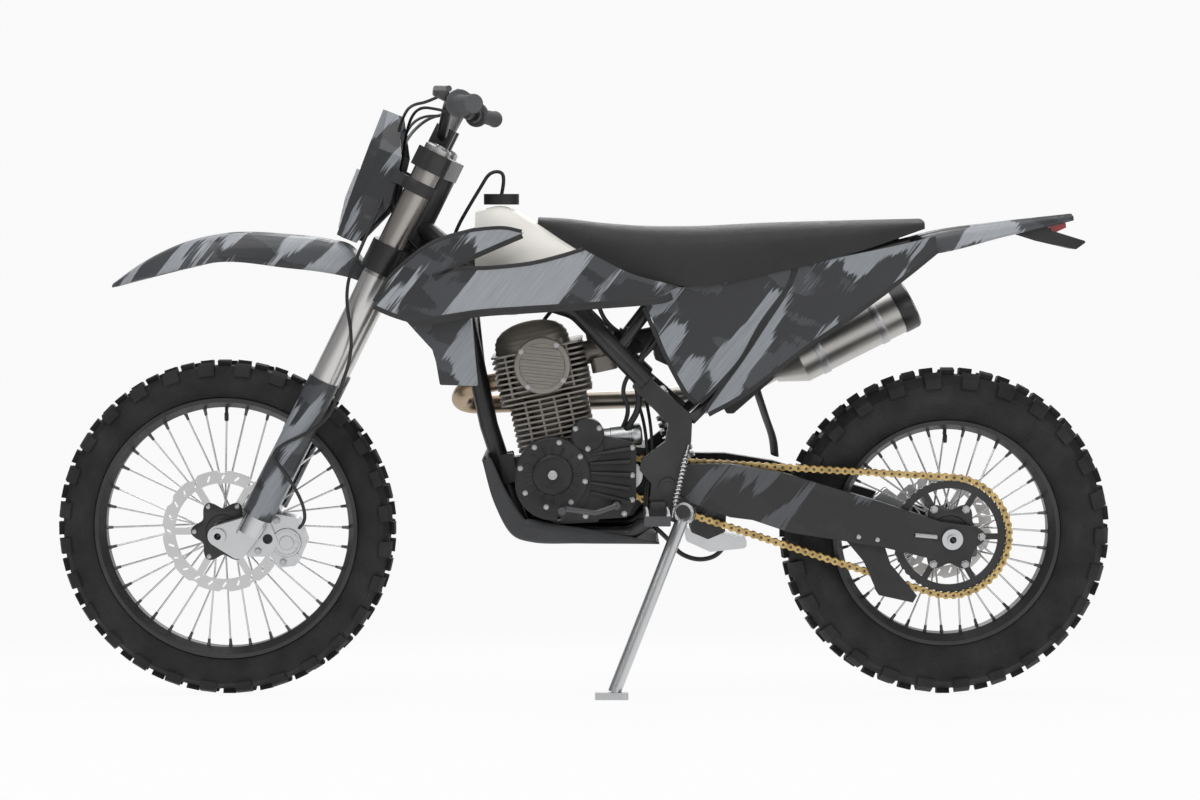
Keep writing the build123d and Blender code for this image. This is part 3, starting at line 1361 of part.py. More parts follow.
# How far the leaned tyres' round crowns reach below the line that they touch upright
FLOOR_DROP = CROWN_R * (1 - cos(radians(LEAN_DEG)))
floor_up = Vector(0, -sin(radians(LEAN_DEG)), cos(radians(LEAN_DEG)))
with BuildPart() as side_stand:
    rod(STAND_PIVOT, STAND_FOOT - stand_run * STAND_R, STAND_R)
    sole_centre = STAND_FOOT - floor_up * (STAND_FOOT.dot(floor_up) + FLOOR_DROP)
    with BuildSketch(Plane(origin=sole_centre, z_dir=floor_up, x_dir=(1, 0, 0))):
        RectangleRounded(66, 46, 10)
    extrude(amount=SOLE_THICK)
    rod(STAND_PIVOT - stand_axis * 12, STAND_PIVOT + stand_axis * 12, 20)
    rod(STAND_PIVOT - stand_axis * 40, STAND_PIVOT + stand_axis * 40, STAND_PIN_R + FIT, mode=Mode.SUBTRACT)
keep(side_stand, "side_stand")

# Write every piece, leaned onto the stand, with the origin under the middle of its box
lean = Location((0, 0, 0), (-LEAN_DEG, 0, 0))
leaned = {name: piece.moved(lean) for name, piece in pieces.items()}
boxes = [piece.bounding_box() for piece in leaned.values()]
low = [min(getattr(box.min, axis) for box in boxes) for axis in "XYZ"]
high = [max(getattr(box.max, axis) for box in boxes) for axis in "XYZ"]
centre = Location((-(low[0] + high[0]) / 2, -(low[1] + high[1]) / 2, -low[2]))
os.makedirs("parts", exist_ok=True)
for name, piece in leaned.items():
    parked = piece.moved(centre)
    parked.label = name
    export_step(parked, f"parts/{name}.step")

# Places that a user of the part needs, in the parked frame
places = {
    "steer_pos": steer_point(0, 0, UPPER_CLAMP[0]),
    "front_axle_pos": FRONT_AXLE,
    "rear_axle_pos": REAR_AXLE,
    "stand_pos": STAND_PIVOT,
    "sole_pos": sole_centre,
}
axes = {
    "steer_axis": STEER_UP,
    "wheel_axis": Vector(0, 1, 0),
    "stand_axis": stand_axis,
    "floor_up": floor_up,
}
for name, point in places.items():
    parked = (centre * lean * Location(point)).position
    print(name, round(parked.X, 3), round(parked.Y, 3), round(parked.Z, 3))
for name, axis in axes.items():
    turned = (lean * Location(axis)).position
    print(name, round(turned.X, 6), round(turned.Y, 6), round(turned.Z, 6))
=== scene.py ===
"""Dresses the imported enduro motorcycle: finishes, seat, shells, cables, spring, engine trim and fasteners."""

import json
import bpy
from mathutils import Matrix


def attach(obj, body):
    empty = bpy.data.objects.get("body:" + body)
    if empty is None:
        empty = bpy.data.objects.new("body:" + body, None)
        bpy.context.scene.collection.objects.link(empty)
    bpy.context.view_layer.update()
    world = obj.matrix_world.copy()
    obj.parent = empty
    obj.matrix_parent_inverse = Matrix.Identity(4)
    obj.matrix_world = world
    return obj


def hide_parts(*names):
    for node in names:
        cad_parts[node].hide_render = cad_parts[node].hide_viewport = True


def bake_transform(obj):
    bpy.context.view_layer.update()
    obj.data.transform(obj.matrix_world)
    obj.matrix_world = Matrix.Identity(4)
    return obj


bl_info = {
    "name": "Enduro Motorcycle Dressing",
    "version": (1, 0, 0),
    "blender": (4, 5, 0),
    "location": "View3D > Sidebar > Enduro",
    "description": "Finishes, shells, cables and fasteners for the packed enduro motorcycle",
    "category": "Object",
}

from math import atan, cos, pi, radians, sin, sqrt, tan

import bmesh
import bpy
import numpy as np
from bpy.props import FloatProperty, FloatVectorProperty, IntProperty, PointerProperty
from bpy.types import Operator, Panel, PropertyGroup

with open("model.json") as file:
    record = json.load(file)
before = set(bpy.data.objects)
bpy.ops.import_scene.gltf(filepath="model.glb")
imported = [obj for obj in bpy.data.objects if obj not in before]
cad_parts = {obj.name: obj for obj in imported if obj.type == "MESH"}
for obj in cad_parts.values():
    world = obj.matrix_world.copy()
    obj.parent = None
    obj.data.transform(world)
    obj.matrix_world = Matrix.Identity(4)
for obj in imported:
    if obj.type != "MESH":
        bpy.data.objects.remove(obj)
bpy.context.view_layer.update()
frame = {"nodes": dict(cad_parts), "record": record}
NODES = frame["nodes"]

# Places in the upright motorcycle's own frame, in millimetres: x forward, y left, z up, origin on the ground
LEAN = radians(10.0)
PARK_SHIFT = np.array([-4.009, -212.822, 1.215])
FRONT_AXLE = np.array([740.0, 0.0, 348.0])
REAR_AXLE = np.array([-740.0, 0.0, 340.0])
LEFT = np.array([0.0, 1.0, 0.0])
UP = np.array([0.0, 0.0, 1.0])
ORIGIN = np.zeros(3)
SIDES = ((1.0, "left"), (-1.0, "right"))
ASKEW = np.array([0.31, 0.17, 0.94])
RAKE = radians(26.7)
STEER_X = np.array([cos(RAKE), 0.0, sin(RAKE)])
STEER_Z = np.array([-sin(RAKE), 0.0, cos(RAKE)])
TRAIL_OFFSET = 74.0
STEER_ORIGIN = FRONT_AXLE - TRAIL_OFFSET * STEER_X


def park(points):
    """Upright millimetres to parked metres: a turn by the lean about x, then a shift to the part's origin."""
    points = np.asarray(points, dtype=float)
    y = points[..., 1] * cos(LEAN) + points[..., 2] * sin(LEAN)
    z = points[..., 2] * cos(LEAN) - points[..., 1] * sin(LEAN)
    return (np.stack([points[..., 0], y, z], axis=-1) + PARK_SHIFT) / 1000.0


def steered(points):
    """Steering-frame points (ahead, left, up the axis) to upright ones."""
    points = np.asarray(points, dtype=float)
    return STEER_ORIGIN + points[..., :1] * STEER_X + points[..., 1:2] * LEFT + points[..., 2:] * STEER_Z


# Surfaces


def through(table, t):
    """Cubic Hermite curve through a table's rows, whose first column is the parameter, sampled at t."""
    table = np.asarray(table, dtype=float)
    knots = table[:, 0]
    values = table[:, 1:]
    slopes = np.gradient(values, knots, axis=0)
    at = np.clip(np.searchsorted(knots, t) - 1, 0, len(knots) - 2)
    width = (knots[at + 1] - knots[at])[:, None]
    s = ((t - knots[at]) / width[:, 0])[:, None]
    low = (1 + 2 * s) * (1 - s) ** 2 * values[at] + s * (1 - s) ** 2 * width * slopes[at]
    high = s * s * (3 - 2 * s) * values[at + 1] - s * s * (1 - s) * width * slopes[at + 1]
    return low + high


def grid_faces(rows, columns, wrap):
    """Quads between neighbours of a grid, whose columns join round where it wraps."""
    index = np.arange(rows * columns).reshape(rows, columns)
    if wrap:
        index = np.hstack([index, index[:, :1]])
    corners = [index[:-1, :-1], index[:-1, 1:], index[1:, 1:], index[1:, :-1]]
    return np.stack([corner.ravel() for corner in corners], axis=1)


CREASE = 38.0
BOLT_CREASE = 30.0
WELD = 1e-6


def new_mesh(name, points, faces, sharp=CREASE):
    """A linked mesh object from arrays, smooth but for edges sharper than an angle."""
    mesh = bpy.data.meshes.new(name)
    mesh.from_pydata(np.asarray(points).tolist(), [], [list(face) for face in faces])
    mesh.update()
    mesh.shade_smooth()
    mesh.set_sharp_from_angle(angle=radians(sharp))
    piece = bpy.data.objects.new(name, mesh)
    bpy.context.scene.collection.objects.link(piece)
    return piece


def outward(piece):
    """Merges doubles and turns the faces of a closed piece outward."""
    work = bmesh.new()
    work.from_mesh(piece.data)
    bmesh.ops.remove_doubles(work, verts=work.verts, dist=WELD)
    bmesh.ops.recalc_face_normals(work, faces=work.faces)
    work.to_mesh(piece.data)
    work.free()
    return piece


def surface(name, grid, wrap=False, caps=False, sharp=CREASE):
    """A mesh over a grid of upright points, with its two ends closed where caps are asked for."""
    rows, columns = grid.shape[:2]
    faces = grid_faces(rows, columns, wrap).tolist()
    if caps:
        faces.append(list(range(columns))[::-1])
        faces.append([(rows - 1) * columns + column for column in range(columns)])
    return new_mesh(name, park(grid).reshape(-1, 3), faces, sharp)


TUBE_ASKEW = np.array([0.29, 0.37, 0.88])


def tube_grid(path, radius, sides):
    """Circles of the given radius, square to a path and carried along it."""
    path = np.asarray(path, dtype=float)
    along = np.gradient(path, axis=0)
    along /= np.linalg.norm(along, axis=1, keepdims=True)
    across = np.cross(along, TUBE_ASKEW)
    across /= np.linalg.norm(across, axis=1, keepdims=True)
    up = np.cross(along, across)
    angle = np.linspace(0, 2 * pi, sides, endpoint=False)
    radius = np.broadcast_to(np.asarray(radius, dtype=float), len(path))
    ring = np.cos(angle)[None, :, None] * across[:, None, :] + np.sin(angle)[None, :, None] * up[:, None, :]
    return path[:, None, :] + radius[:, None, None] * ring


def turned(profile, centre, axis, sides):
    """Circles of revolution: rows of (height along the axis, radius) about a centre."""
    profile = np.asarray(profile, dtype=float)
    axis = np.asarray(axis, dtype=float) / np.linalg.norm(axis)
    across = np.cross(axis, ASKEW)
    across /= np.linalg.norm(across)
    up = np.cross(axis, across)
    angle = np.linspace(0, 2 * pi, sides, endpoint=False)
    ring = np.cos(angle)[:, None] * across + np.sin(angle)[:, None] * up
    return np.asarray(centre) + profile[:, :1, None] * axis + profile[:, 1:2, None] * ring[None]


def repeated(name, grid, places, frames):
    """Copies of a grid shape with a closed top, each turned by a 3 x 3 frame and moved to a place."""
    rows, columns = grid.shape[:2]
    shape = grid.reshape(-1, 3)
    faces = grid_faces(rows, columns, True)
    count = len(places)
    points = np.einsum("nij,pj->npi", frames, shape) + np.asarray(places)[:, None, :]
    offsets = (np.arange(count) * len(shape))[:, None, None]
    all_faces = (faces[None] + offsets).reshape(-1, 4).tolist()
    top = np.arange(columns) + (rows - 1) * columns
    all_faces += (top[None] + offsets[:, 0]).tolist()
    return new_mesh(name, park(points).reshape(-1, 3), all_faces, BOLT_CREASE)


def frames_along(axes):
    """For each axis a 3 x 3 frame whose third column is that axis."""
    axes = np.asarray(axes, dtype=float)
    axes = axes / np.linalg.norm(axes, axis=1, keepdims=True)
    across = np.cross(axes, ASKEW)
    across /= np.linalg.norm(across, axis=1, keepdims=True)
    up = np.cross(axes, across)
    return np.stack([across, up, axes], axis=2)


def hex_bolt(radius, height):
    """A hexagon head with a bevelled rim on a round washer, standing on z = 0."""
    profile = np.array([[0, 1.32], [0.22, 1.32], [0.22, 1.0], [0.86, 1.0], [1.0, 0.86]])
    return turned(profile * np.array([height, radius]), ORIGIN, UP, 6)


def button(radius, height):
    """A low domed head of revolution, standing on z = 0."""
    profile = np.array([[0, 1.0], [0.45, 1.0], [0.85, 0.8], [1.0, 0.45]])
    return turned(profile * np.array([height, radius]), ORIGIN, UP, 8)


# Finishes


class Wire:
    """A node socket that takes part in Python arithmetic."""

    def __init__(self, tree, socket):
        self.tree = tree
        self.socket = socket

    def math(self, operation, first, second=None):
        node = self.tree.nodes.new("ShaderNodeMath")
        node.operation = operation
        for slot, value in zip(node.inputs, (first, second)):
            if isinstance(value, Wire):
                self.tree.links.new(value.socket, slot)
            elif value is not None:
                slot.default_value = value
        return Wire(self.tree, node.outputs[0])

    def __add__(self, other):
        return self.math("ADD", self, other)

    def __radd__(self, other):
        return self.math("ADD", other, self)

    def __sub__(self, other):
        return self.math("SUBTRACT", self, other)

    def __rsub__(self, other):
        return self.math("SUBTRACT", other, self)

    def __mul__(self, other):
        return self.math("MULTIPLY", self, other)

    def __rmul__(self, other):
        return self.math("MULTIPLY", other, self)

    def sine(self):
        return self.math("SINE", self)

    def clipped(self, low, high):
        """0 below low, 1 above high, a straight ramp between."""
        ramp = (self - low) * (1.0 / (high - low))
        return self.math("MAXIMUM", self.math("MINIMUM", ramp, 1.0), 0.0)


class Finish:
    """A material in the making: its tree, its surface shader, and one method that adds any node."""

    def __init__(self, name, colour, rough, metal=0.0, coat=0.0):
        self.material = bpy.data.materials.new(name)
        self.material.use_nodes = True
        self.material.diffuse_color = (*colour, 1.0)
        self.tree = self.material.node_tree
        self.shader = self.tree.nodes["Principled BSDF"]
        self.set("Base Color", (*colour, 1.0))
        self.set("Roughness", rough)
        self.set("Metallic", metal)
        self.set("Coat Weight", coat)
        self.where = self.node("ShaderNodeTexCoord", output="Object")

    def set(self, socket, value):
        if isinstance(value, Wire):
            self.tree.links.new(value.socket, self.shader.inputs[socket])
        else:
            self.shader.inputs[socket].default_value = value

    def node(self, kind, settings=None, links=None, output=0):
        """Adds a node: its settings first, then the values or wires of its sockets; returns one output."""
        node = self.tree.nodes.new(kind)
        for key, value in (settings or {}).items():
            setattr(node, key, value)
        for key, value in (links or {}).items():
            if isinstance(value, Wire):
                self.tree.links.new(value.socket, node.inputs[key])
            else:
                node.inputs[key].default_value = value
        return Wire(self.tree, node.outputs[output])

    def noise(self, scale, detail=3.0, where=None):
        links = {"Vector": where or self.where, "Scale": scale, "Detail": detail}
        return self.node("ShaderNodeTexNoise", None, links)

    def stretched(self, turn, scale):
        """Object coordinates turned by the angles, then multiplied by a scale for each axis."""
        size = tuple(1.0 / value for value in scale)
        links = {"Vector": self.where, "Rotation": turn, "Scale": size}
        return self.node("ShaderNodeMapping", {"vector_type": "TEXTURE"}, links)

    def mixed(self, factor, first, second):
        """Colour mix of two colours or colour wires."""
        links = {0: factor}
        links[6] = first if isinstance(first, Wire) else (*first, 1.0)
        links[7] = second if isinstance(second, Wire) else (*second, 1.0)
        return self.node("ShaderNodeMix", {"data_type": "RGBA"}, links, 2)

    def radius_about(self, centre, axis):
        """Distance from a line through a centre: the length of the cross product with its axis."""
        kind = "ShaderNodeVectorMath"
        offset = self.node(kind, {"operation": "SUBTRACT"}, {0: self.where, 1: tuple(centre)})
        square = self.node(kind, {"operation": "CROSS_PRODUCT"}, {0: offset, 1: tuple(axis)})
        return self.node(kind, {"operation": "LENGTH"}, {0: square}, "Value")

    def bump(self, height, depth):
        self.set("Normal", self.node("ShaderNodeBump", None, {"Height": height, "Distance": depth}))

    def worn(self, colour, dust, rough, spread, grain, depth):
        """Colour clouded with dust, roughness that wanders by spread, and a fine grain of a given depth."""
        cloud = self.noise(9.0, 4.0)
        self.set("Base Color", self.mixed(cloud.clipped(0.35, 0.75), colour, dust))
        self.set("Roughness", rough - 0.5 * spread + spread * self.noise(31.0, 3.0))
        self.bump(self.noise(grain, 2.0), depth)
        return self


WHEEL_AXIS = np.array([0.0, cos(LEAN), -sin(LEAN)])
DUST = 0.042
STROKE_TURN = 52.0
CROSS_TURN = STROKE_TURN - 78.0


def plain(name, colour, rough, metal=0.0, coat=0.0, grain=900.0, depth=0.0001, spread=0.12):
    """A painted, cast or moulded finish: clouded colour, wandering gloss and a fine grain."""
    paler = tuple(value + DUST * (0.5 - value) for value in colour)
    return Finish(name, colour, rough, metal, coat).worn(colour, paler, rough, spread, grain, depth).material


def tyre_rubber(name, axle):
    """Matt rubber: dust in clouds, and fine rings on the lower wall by distance from the axle."""
    make = Finish(name, (0.02, 0.02, 0.021), 0.62)
    make.set("Specular IOR Level", 0.3)
    radius = make.radius_about(park(axle), WHEEL_AXIS)
    cloud = make.noise(14.0, 5.0)
    make.set("Base Color", make.mixed(cloud.clipped(0.3, 0.75), (0.013, 0.013, 0.014), (0.036, 0.036, 0.037)))
    make.set("Roughness", 0.55 + 0.2 * make.noise(60.0))
    wall = 1.0 - radius.clipped(0.285, 0.295)
    rings = (radius * 1500.0).sine() * wall
    make.bump(rings * 0.5 + make.noise(420.0), 0.0004)
    return make.material


def disc_steel(name, axle):
    """Ground steel with fine rings about the axle and a faint heat tint."""
    make = Finish(name, (0.6, 0.6, 0.61), 0.3, 1.0)
    radius = make.radius_about(park(axle), WHEEL_AXIS)
    rings = make.node("ShaderNodeTexNoise", {"noise_dimensions": "1D"}, {"W": radius, "Scale": 900.0})
    make.set("Base Color", make.mixed(make.noise(12.0), (0.55, 0.55, 0.56), (0.68, 0.67, 0.66)))
    make.set("Roughness", 0.24 + 0.2 * rings)
    make.bump(rings, 0.00006)
    return make.material


def brushed_panel(name, ground, middle, light, cover, size):
    """Satin plastic with dry-brush strokes: stretched noise cut to a mask, with streaks at its edges."""
    make = Finish(name, ground, 0.42, 0.0, 0.15)
    slope = (0.0, radians(STROKE_TURN), 0.0)
    slant = make.stretched(slope, (3.2 * size, 5.0, 11.0 * size))
    fine = make.stretched(slope, (9.0 * size, 12.0, 190.0 * size))
    broad = make.noise(1.0, 1.5, slant)
    streak = make.noise(1.0, 3.0, fine)
    crossed = make.stretched((0.0, radians(CROSS_TURN), 0.0), (4.0 * size, 6.0, 12.0 * size))
    other = make.noise(1.0, 1.5, crossed)
    pale = (broad + 0.16 * (streak - 0.5)).clipped(cover, cover + 0.02)
    grey = (other + 0.14 * (streak - 0.5)).clipped(0.53, 0.55)
    base = make.mixed(grey, ground, middle)
    strokes = make.mixed(streak.clipped(0.2, 0.8), tuple(0.72 * value for value in light), light)
    make.set("Base Color", make.mixed(pale, base, strokes))
    make.set("Roughness", 0.36 + 0.16 * make.noise(40.0))
    make.bump(make.noise(700.0, 2.0), 0.00008)
    return make.material


def seat_vinyl(name):
    """Black vinyl with pebbled grain from cells, and gloss that wanders."""
    make = Finish(name, (0.012, 0.012, 0.013), 0.48)
    links = {"Vector": make.where, "Scale": 520.0}
    cells = make.node("ShaderNodeTexVoronoi", {"feature": "DISTANCE_TO_EDGE"}, links)
    make.set("Base Color", make.mixed(make.noise(7.0, 4.0), (0.009, 0.009, 0.01), (0.022, 0.022, 0.023)))
    make.set("Roughness", 0.42 + 0.16 * make.noise(45.0))
    make.bump(cells.clipped(0.0, 0.25) + 0.3 * make.noise(300.0), 0.0003)
    return make.material


def tank_plastic(name):
    """Milky moulded plastic: warm white with faint clouds and a soft sheen."""
    make = Finish(name, (0.86, 0.84, 0.78), 0.38)
    make.set("Base Color", make.mixed(make.noise(6.0, 4.0), (0.80, 0.775, 0.70), (0.90, 0.885, 0.84)))
    make.set("Roughness", 0.32 + 0.14 * make.noise(30.0))
    make.bump(make.noise(160.0, 2.0), 0.00015)
    return make.material


def exhaust_steel(name):
    """Brushed steel that tans toward the port, by distance along x."""
    make = Finish(name, (0.5, 0.48, 0.45), 0.32, 1.0)
    along = make.node("ShaderNodeSeparateXYZ", None, {0: make.where}, "X")
    heat = (along + 0.12 * make.noise(10.0)).clipped(-0.25, 0.28)
    make.set("Base Color", make.mixed(heat, (0.52, 0.51, 0.49), (0.38, 0.29, 0.20)))
    brushed = make.noise(1.0, 3.0, make.stretched((0.0, radians(27.0), 0.0), (12.0, 600.0, 600.0)))
    make.set("Roughness", 0.24 + 0.22 * brushed)
    make.bump(brushed, 0.00005)
    return make.material


def lens_plastic(name, colour, dark):
    """Moulded lens: colour deepened by a ribbed pattern, with a clear coat."""
    make = Finish(name, colour, 0.12, 0.0, 0.6)
    ribs = make.node("ShaderNodeSeparateXYZ", None, {0: make.where}, "Y")
    wave = (ribs * 900.0).sine()
    make.set("Base Color", make.mixed(wave * 0.5 + 0.5, colour, dark))
    make.bump(wave, 0.0005)
    return make.material


def chain_gold(name):
    """Gold plate with oil in the joints: darker and rougher in clouds."""
    make = Finish(name, (0.62, 0.44, 0.18), 0.32, 1.0)
    cloud = make.noise(60.0, 4.0)
    make.set("Base Color", make.mixed(cloud.clipped(0.3, 0.7), (0.70, 0.50, 0.21), (0.42, 0.29, 0.11)))
    make.set("Roughness", 0.24 + 0.25 * cloud)
    make.bump(make.noise(500.0), 0.0001)
    return make.material


CHARCOAL = (0.030, 0.031, 0.034)
SLATE = (0.062, 0.065, 0.072)
ASH = (0.33, 0.35, 0.38)
CHALK = (0.42, 0.44, 0.47)
INK = (0.014, 0.014, 0.015)
PITCH = (0.02, 0.02, 0.022)
LEAD = (0.10, 0.105, 0.115)
# Maker and its values after the name
MADE = {
    "front_rubber": (tyre_rubber, FRONT_AXLE),
    "rear_rubber": (tyre_rubber, REAR_AXLE),
    "front_steel": (disc_steel, FRONT_AXLE),
    "rear_steel": (disc_steel, REAR_AXLE),
    "panel_brush": (brushed_panel, CHARCOAL, SLATE, ASH, 0.51, 1.5),
    "pale_brush": (brushed_panel, SLATE, CHARCOAL, CHALK, 0.50, 1.4),
    "arm_brush": (brushed_panel, INK, PITCH, LEAD, 0.54, 1.3),
    "seat_vinyl": (seat_vinyl,),
    "tank_white": (tank_plastic,),
    "exhaust_steel": (exhaust_steel,),
    "chain_gold": (chain_gold,),
    "lens_clear": (lens_plastic, (0.55, 0.57, 0.6), (0.3, 0.31, 0.33)),
    "lens_red": (lens_plastic, (0.55, 0.012, 0.012), (0.25, 0.004, 0.004)),
}
# Colour, roughness, metal, coat, scale and depth of the grain, spread of the gloss
PLAIN = {
    "grip_rubber": ((0.10, 0.102, 0.107), 0.6, 0.0, 0.0, 500.0, 0.0004),
    "black_metal": (INK, 0.36, 0.0, 0.1),
    "black_plastic": ((0.016, 0.016, 0.017), 0.55, 0.0, 0.0, 420.0, 0.0002),
    "grey_plastic": ((0.035, 0.036, 0.039), 0.5, 0.0, 0.0, 380.0, 0.0002),
    "engine_black": ((0.018, 0.018, 0.019), 0.44, 0.25, 0.0, 650.0, 0.0002),
    "cylinder_bronze": ((0.27, 0.25, 0.225), 0.42, 0.5, 0.0, 700.0, 0.0002),
    "aluminium": ((0.6, 0.61, 0.62), 0.34, 1.0, 0.0, 800.0),
    "fork_titan": ((0.40, 0.38, 0.36), 0.3, 1.0, 0.0, 900.0, 0.0001, 0.1),
    "spoke_steel": ((0.66, 0.66, 0.68), 0.25, 1.0, 0.0, 900.0, 0.0001, 0.1),
    "hose_rubber": ((0.012, 0.012, 0.013), 0.5, 0.0, 0.0, 300.0, 0.0002),
    "dark_steel": ((0.10, 0.10, 0.105), 0.38, 0.8),
    "fork_silver": ((0.66, 0.65, 0.64), 0.3, 0.85),
    "zinc": ((0.5, 0.5, 0.51), 0.36, 1.0),
}
FINISHES = {}


def finish(name):
    """The finish of that name, made once."""
    if name not in FINISHES:
        maker, *values = MADE.get(name) or (plain, *PLAIN[name])
        FINISHES[name] = maker(name, *values)
    return FINISHES[name]


# Nodes whose finish is not simply that of their slot
NODE_FINISH = {
    "front_tyre": "front_rubber",
    "rear_tyre": "rear_rubber",
    "front_disc": "front_steel",
    "rear_disc": "rear_steel",
    "drive_sprocket": "aluminium",
    "swingarm": "arm_brush",
    "tank_shrouds": "pale_brush",
    "front_fender": "pale_brush",
    "side_panels": "panel_brush",
    "rear_fender": "pale_brush",
    "headlight_mask": "panel_brush",
    "fork_guards": "panel_brush",
    "radiator_guards": "panel_brush",
    "carburettor": "cylinder_bronze",
    "footpegs": "dark_steel",
    "foot_levers": "dark_steel",
    "hand_controls": "dark_steel",
}
SLOT_OF = {item["node"]: item["material_slot"] for item in frame["record"]["subparts"]}


def wear(piece, name):
    """Gives a piece one finish."""
    piece.data.materials.clear()
    piece.data.materials.append(finish(name))
    return piece


def settle(piece, body, name, replaced=()):
    """Hangs a finished piece on a body, with its finish and the CAD nodes that it stands for."""
    wear(piece, name)
    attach(piece, body)
    if replaced:
        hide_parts(*replaced)
    return piece


def closed(name, grid, body, finish_name, sharp=CREASE, replaced=()):
    """A closed piece over a grid that wraps round."""
    piece = outward(surface(name, grid, wrap=True, caps=True, sharp=sharp))
    return settle(piece, body, finish_name, replaced)


def ring_piece(name, profile, centre, axis, sides, body, finish_name):
    """One turned piece with closed ends: a profile of (height, radius) rows about an axis."""
    return closed(name, turned(profile, centre, axis, sides), body, finish_name)


def band_piece(name, profile, centre, axis, sides, body, finish_name):
    """One turned band, open where its profile ends."""
    return settle(surface(name, turned(profile, centre, axis, sides), wrap=True), body, finish_name)


def bar_piece(name, path, radius, sides, body, finish_name):
    """One round bar along a path, closed at its ends."""
    path = np.array(path, dtype=float)
    return settle(surface(name, tube_grid(path, radius, sides), wrap=True, caps=True), body, finish_name)


class EnduroSizes(PropertyGroup):
    """Sizes and colours that a user of the dressing would change."""

    seat_crown: FloatProperty(
        name="Seat crown",
        description="How far the seat's middle rises over its edges",
        default=0.010,
        unit="LENGTH",
    )
    fender_skin: FloatProperty(
        name="Shell skin", description="Thickness of the moulded shells", default=0.003, unit="LENGTH"
    )
    hose_radius: FloatProperty(
        name="Hose radius", description="Radius of the brake hoses", default=0.0035, unit="LENGTH"
    )
    cable_radius: FloatProperty(
        name="Cable radius", description="Radius of the control cables", default=0.003, unit="LENGTH"
    )
    grip_ribs: IntProperty(name="Grip ribs", description="Rings along each grip", default=22, min=4)
    floor_tone: FloatVectorProperty(
        name="Floor", description="Colour of floor and backdrop", default=(0.93, 0.93, 0.93), subtype="COLOR"
    )
    lens_mm: FloatProperty(
        name="Lens", description="Focal length of the camera in millimetres", default=64.26
    )


def sizes():
    return bpy.context.scene.enduro_sizes


class ENDURO_OT_finishes(Operator):
    """Give every CAD node its finish"""

    bl_idname = "enduro.finishes"
    bl_label = "Finishes"

    def execute(self, context):
        for name, node in NODES.items():
            wear(node, NODE_FINISH.get(name, SLOT_OF[name]))
        return {"FINISHED"}


# x, top z, half width, base z
SEAT = [
    (-680.0, 984.0, 82.0, 964.0),
    (-547.0, 981.0, 110.0, 920.0),
    (-348.0, 975.0, 121.0, 872.0),
    (-220.0, 969.0, 121.0, 851.0),
    (-109.0, 970.0, 103.0, 864.0),
    (-29.0, 976.0, 84.0, 894.0),
    (51.0, 985.0, 60.0, 938.0),
    (97.0, 987.0, 36.0, 969.0),
]
SEAT_SIDE_POWER = 0.55
SEAT_TOP_POWER = 0.5
CROWN_SHARE = 0.6
SOFT_CREASE = 60.0


def signed_power(values, power):
    """Values taken to a power by size, with their signs kept."""
    return np.sign(values) * np.abs(values) ** power


class ENDURO_OT_seat(Operator):
    """Make the padded seat"""

    bl_idname = "enduro.seat"
    bl_label = "Seat"

    def execute(self, context):
        """Sections are superellipses over a flat base: y and z go as cos and sin to low powers."""
        x = np.linspace(SEAT[0][0], SEAT[-1][0], 120)
        top, half, base = through(SEAT, x).T
        angle = np.linspace(0.0, pi, 41)
        side = signed_power(np.cos(angle), SEAT_SIDE_POWER)
        rise = np.abs(np.sin(angle)) ** SEAT_TOP_POWER
        full_crown = sizes().seat_crown * 1000.0
        crown = full_crown * (1 - side**2)
        y = half[:, None] * side[None]
        z = base[:, None] + (top - base)[:, None] * rise[None]
        z = z - (full_crown - crown)[None] * (rise[None] ** 4) * CROWN_SHARE
        grid = np.stack([np.broadcast_to(x[:, None], y.shape), y, z], axis=-1)
        piece = closed("seat_cushion", grid, "chassis", "seat_vinyl", SOFT_CREASE, ("seat",))
        return {"FINISHED"}


# x, top z, half width at the top, widest half width, its z, lower z, lower half width
TANK = [
    (-70.0, 886.0, 90.0, 108.0, 860.0, 816.0, 104.0),
    (-29.0, 902.0, 84.0, 112.0, 870.0, 812.0, 108.0),
    (51.0, 946.0, 66.0, 118.0, 890.0, 812.0, 112.0),
    (98.0, 974.0, 60.0, 118.0, 900.0, 804.0, 112.0),
    (170.0, 1009.0, 58.0, 108.0, 930.0, 800.0, 104.0),
    (222.0, 1000.0, 50.0, 82.0, 950.0, 868.0, 80.0),
]
TANK_KNOTS = [0.0, 0.22, 0.40, 0.5, 0.60, 0.78, 1.0]
SHOULDER_DROP = 4.0


class ENDURO_OT_tank(Operator):
    """Make the smooth tank shell"""

    bl_idname = "enduro.tank"
    bl_label = "Tank"

    def execute(self, context):
        """Each section is a Hermite curve over seven points, from lower left over the top to lower right."""
        x = np.linspace(TANK[0][0], TANK[-1][0], 60)
        top, top_half, wide, wide_z, low, low_half = through(TANK, x).T
        zero = np.zeros_like(x)
        ys = np.stack([low_half, wide, top_half, zero, -top_half, -wide, -low_half])
        shoulder = top - SHOULDER_DROP
        zs = np.stack([low, wide_z, shoulder, top, shoulder, wide_z, low])
        knots = np.array(TANK_KNOTS)[:, None]
        t = np.linspace(0.0, 1.0, 49)
        y = through(np.hstack([knots, ys]), t).T
        z = through(np.hstack([knots, zs]), t).T
        grid = np.stack([np.broadcast_to(x[:, None], y.shape), y, z], axis=-1)
        closed("tank_shell", grid, "chassis", "tank_white", SOFT_CREASE, ("fuel_tank",))
        return {"FINISHED"}


BAR_BEND = np.array([36.0, 190.0, 983.0])
BAR_END = np.array([-21.0, 398.0, 1001.0])
BAR_RUN = (BAR_END - BAR_BEND) / np.linalg.norm(BAR_END - BAR_BEND)
GRIP_LENGTH = 122.0
GRIP_R = 16.2
GRIP_RING = 0.7
GRIP_WAIST = 1.2
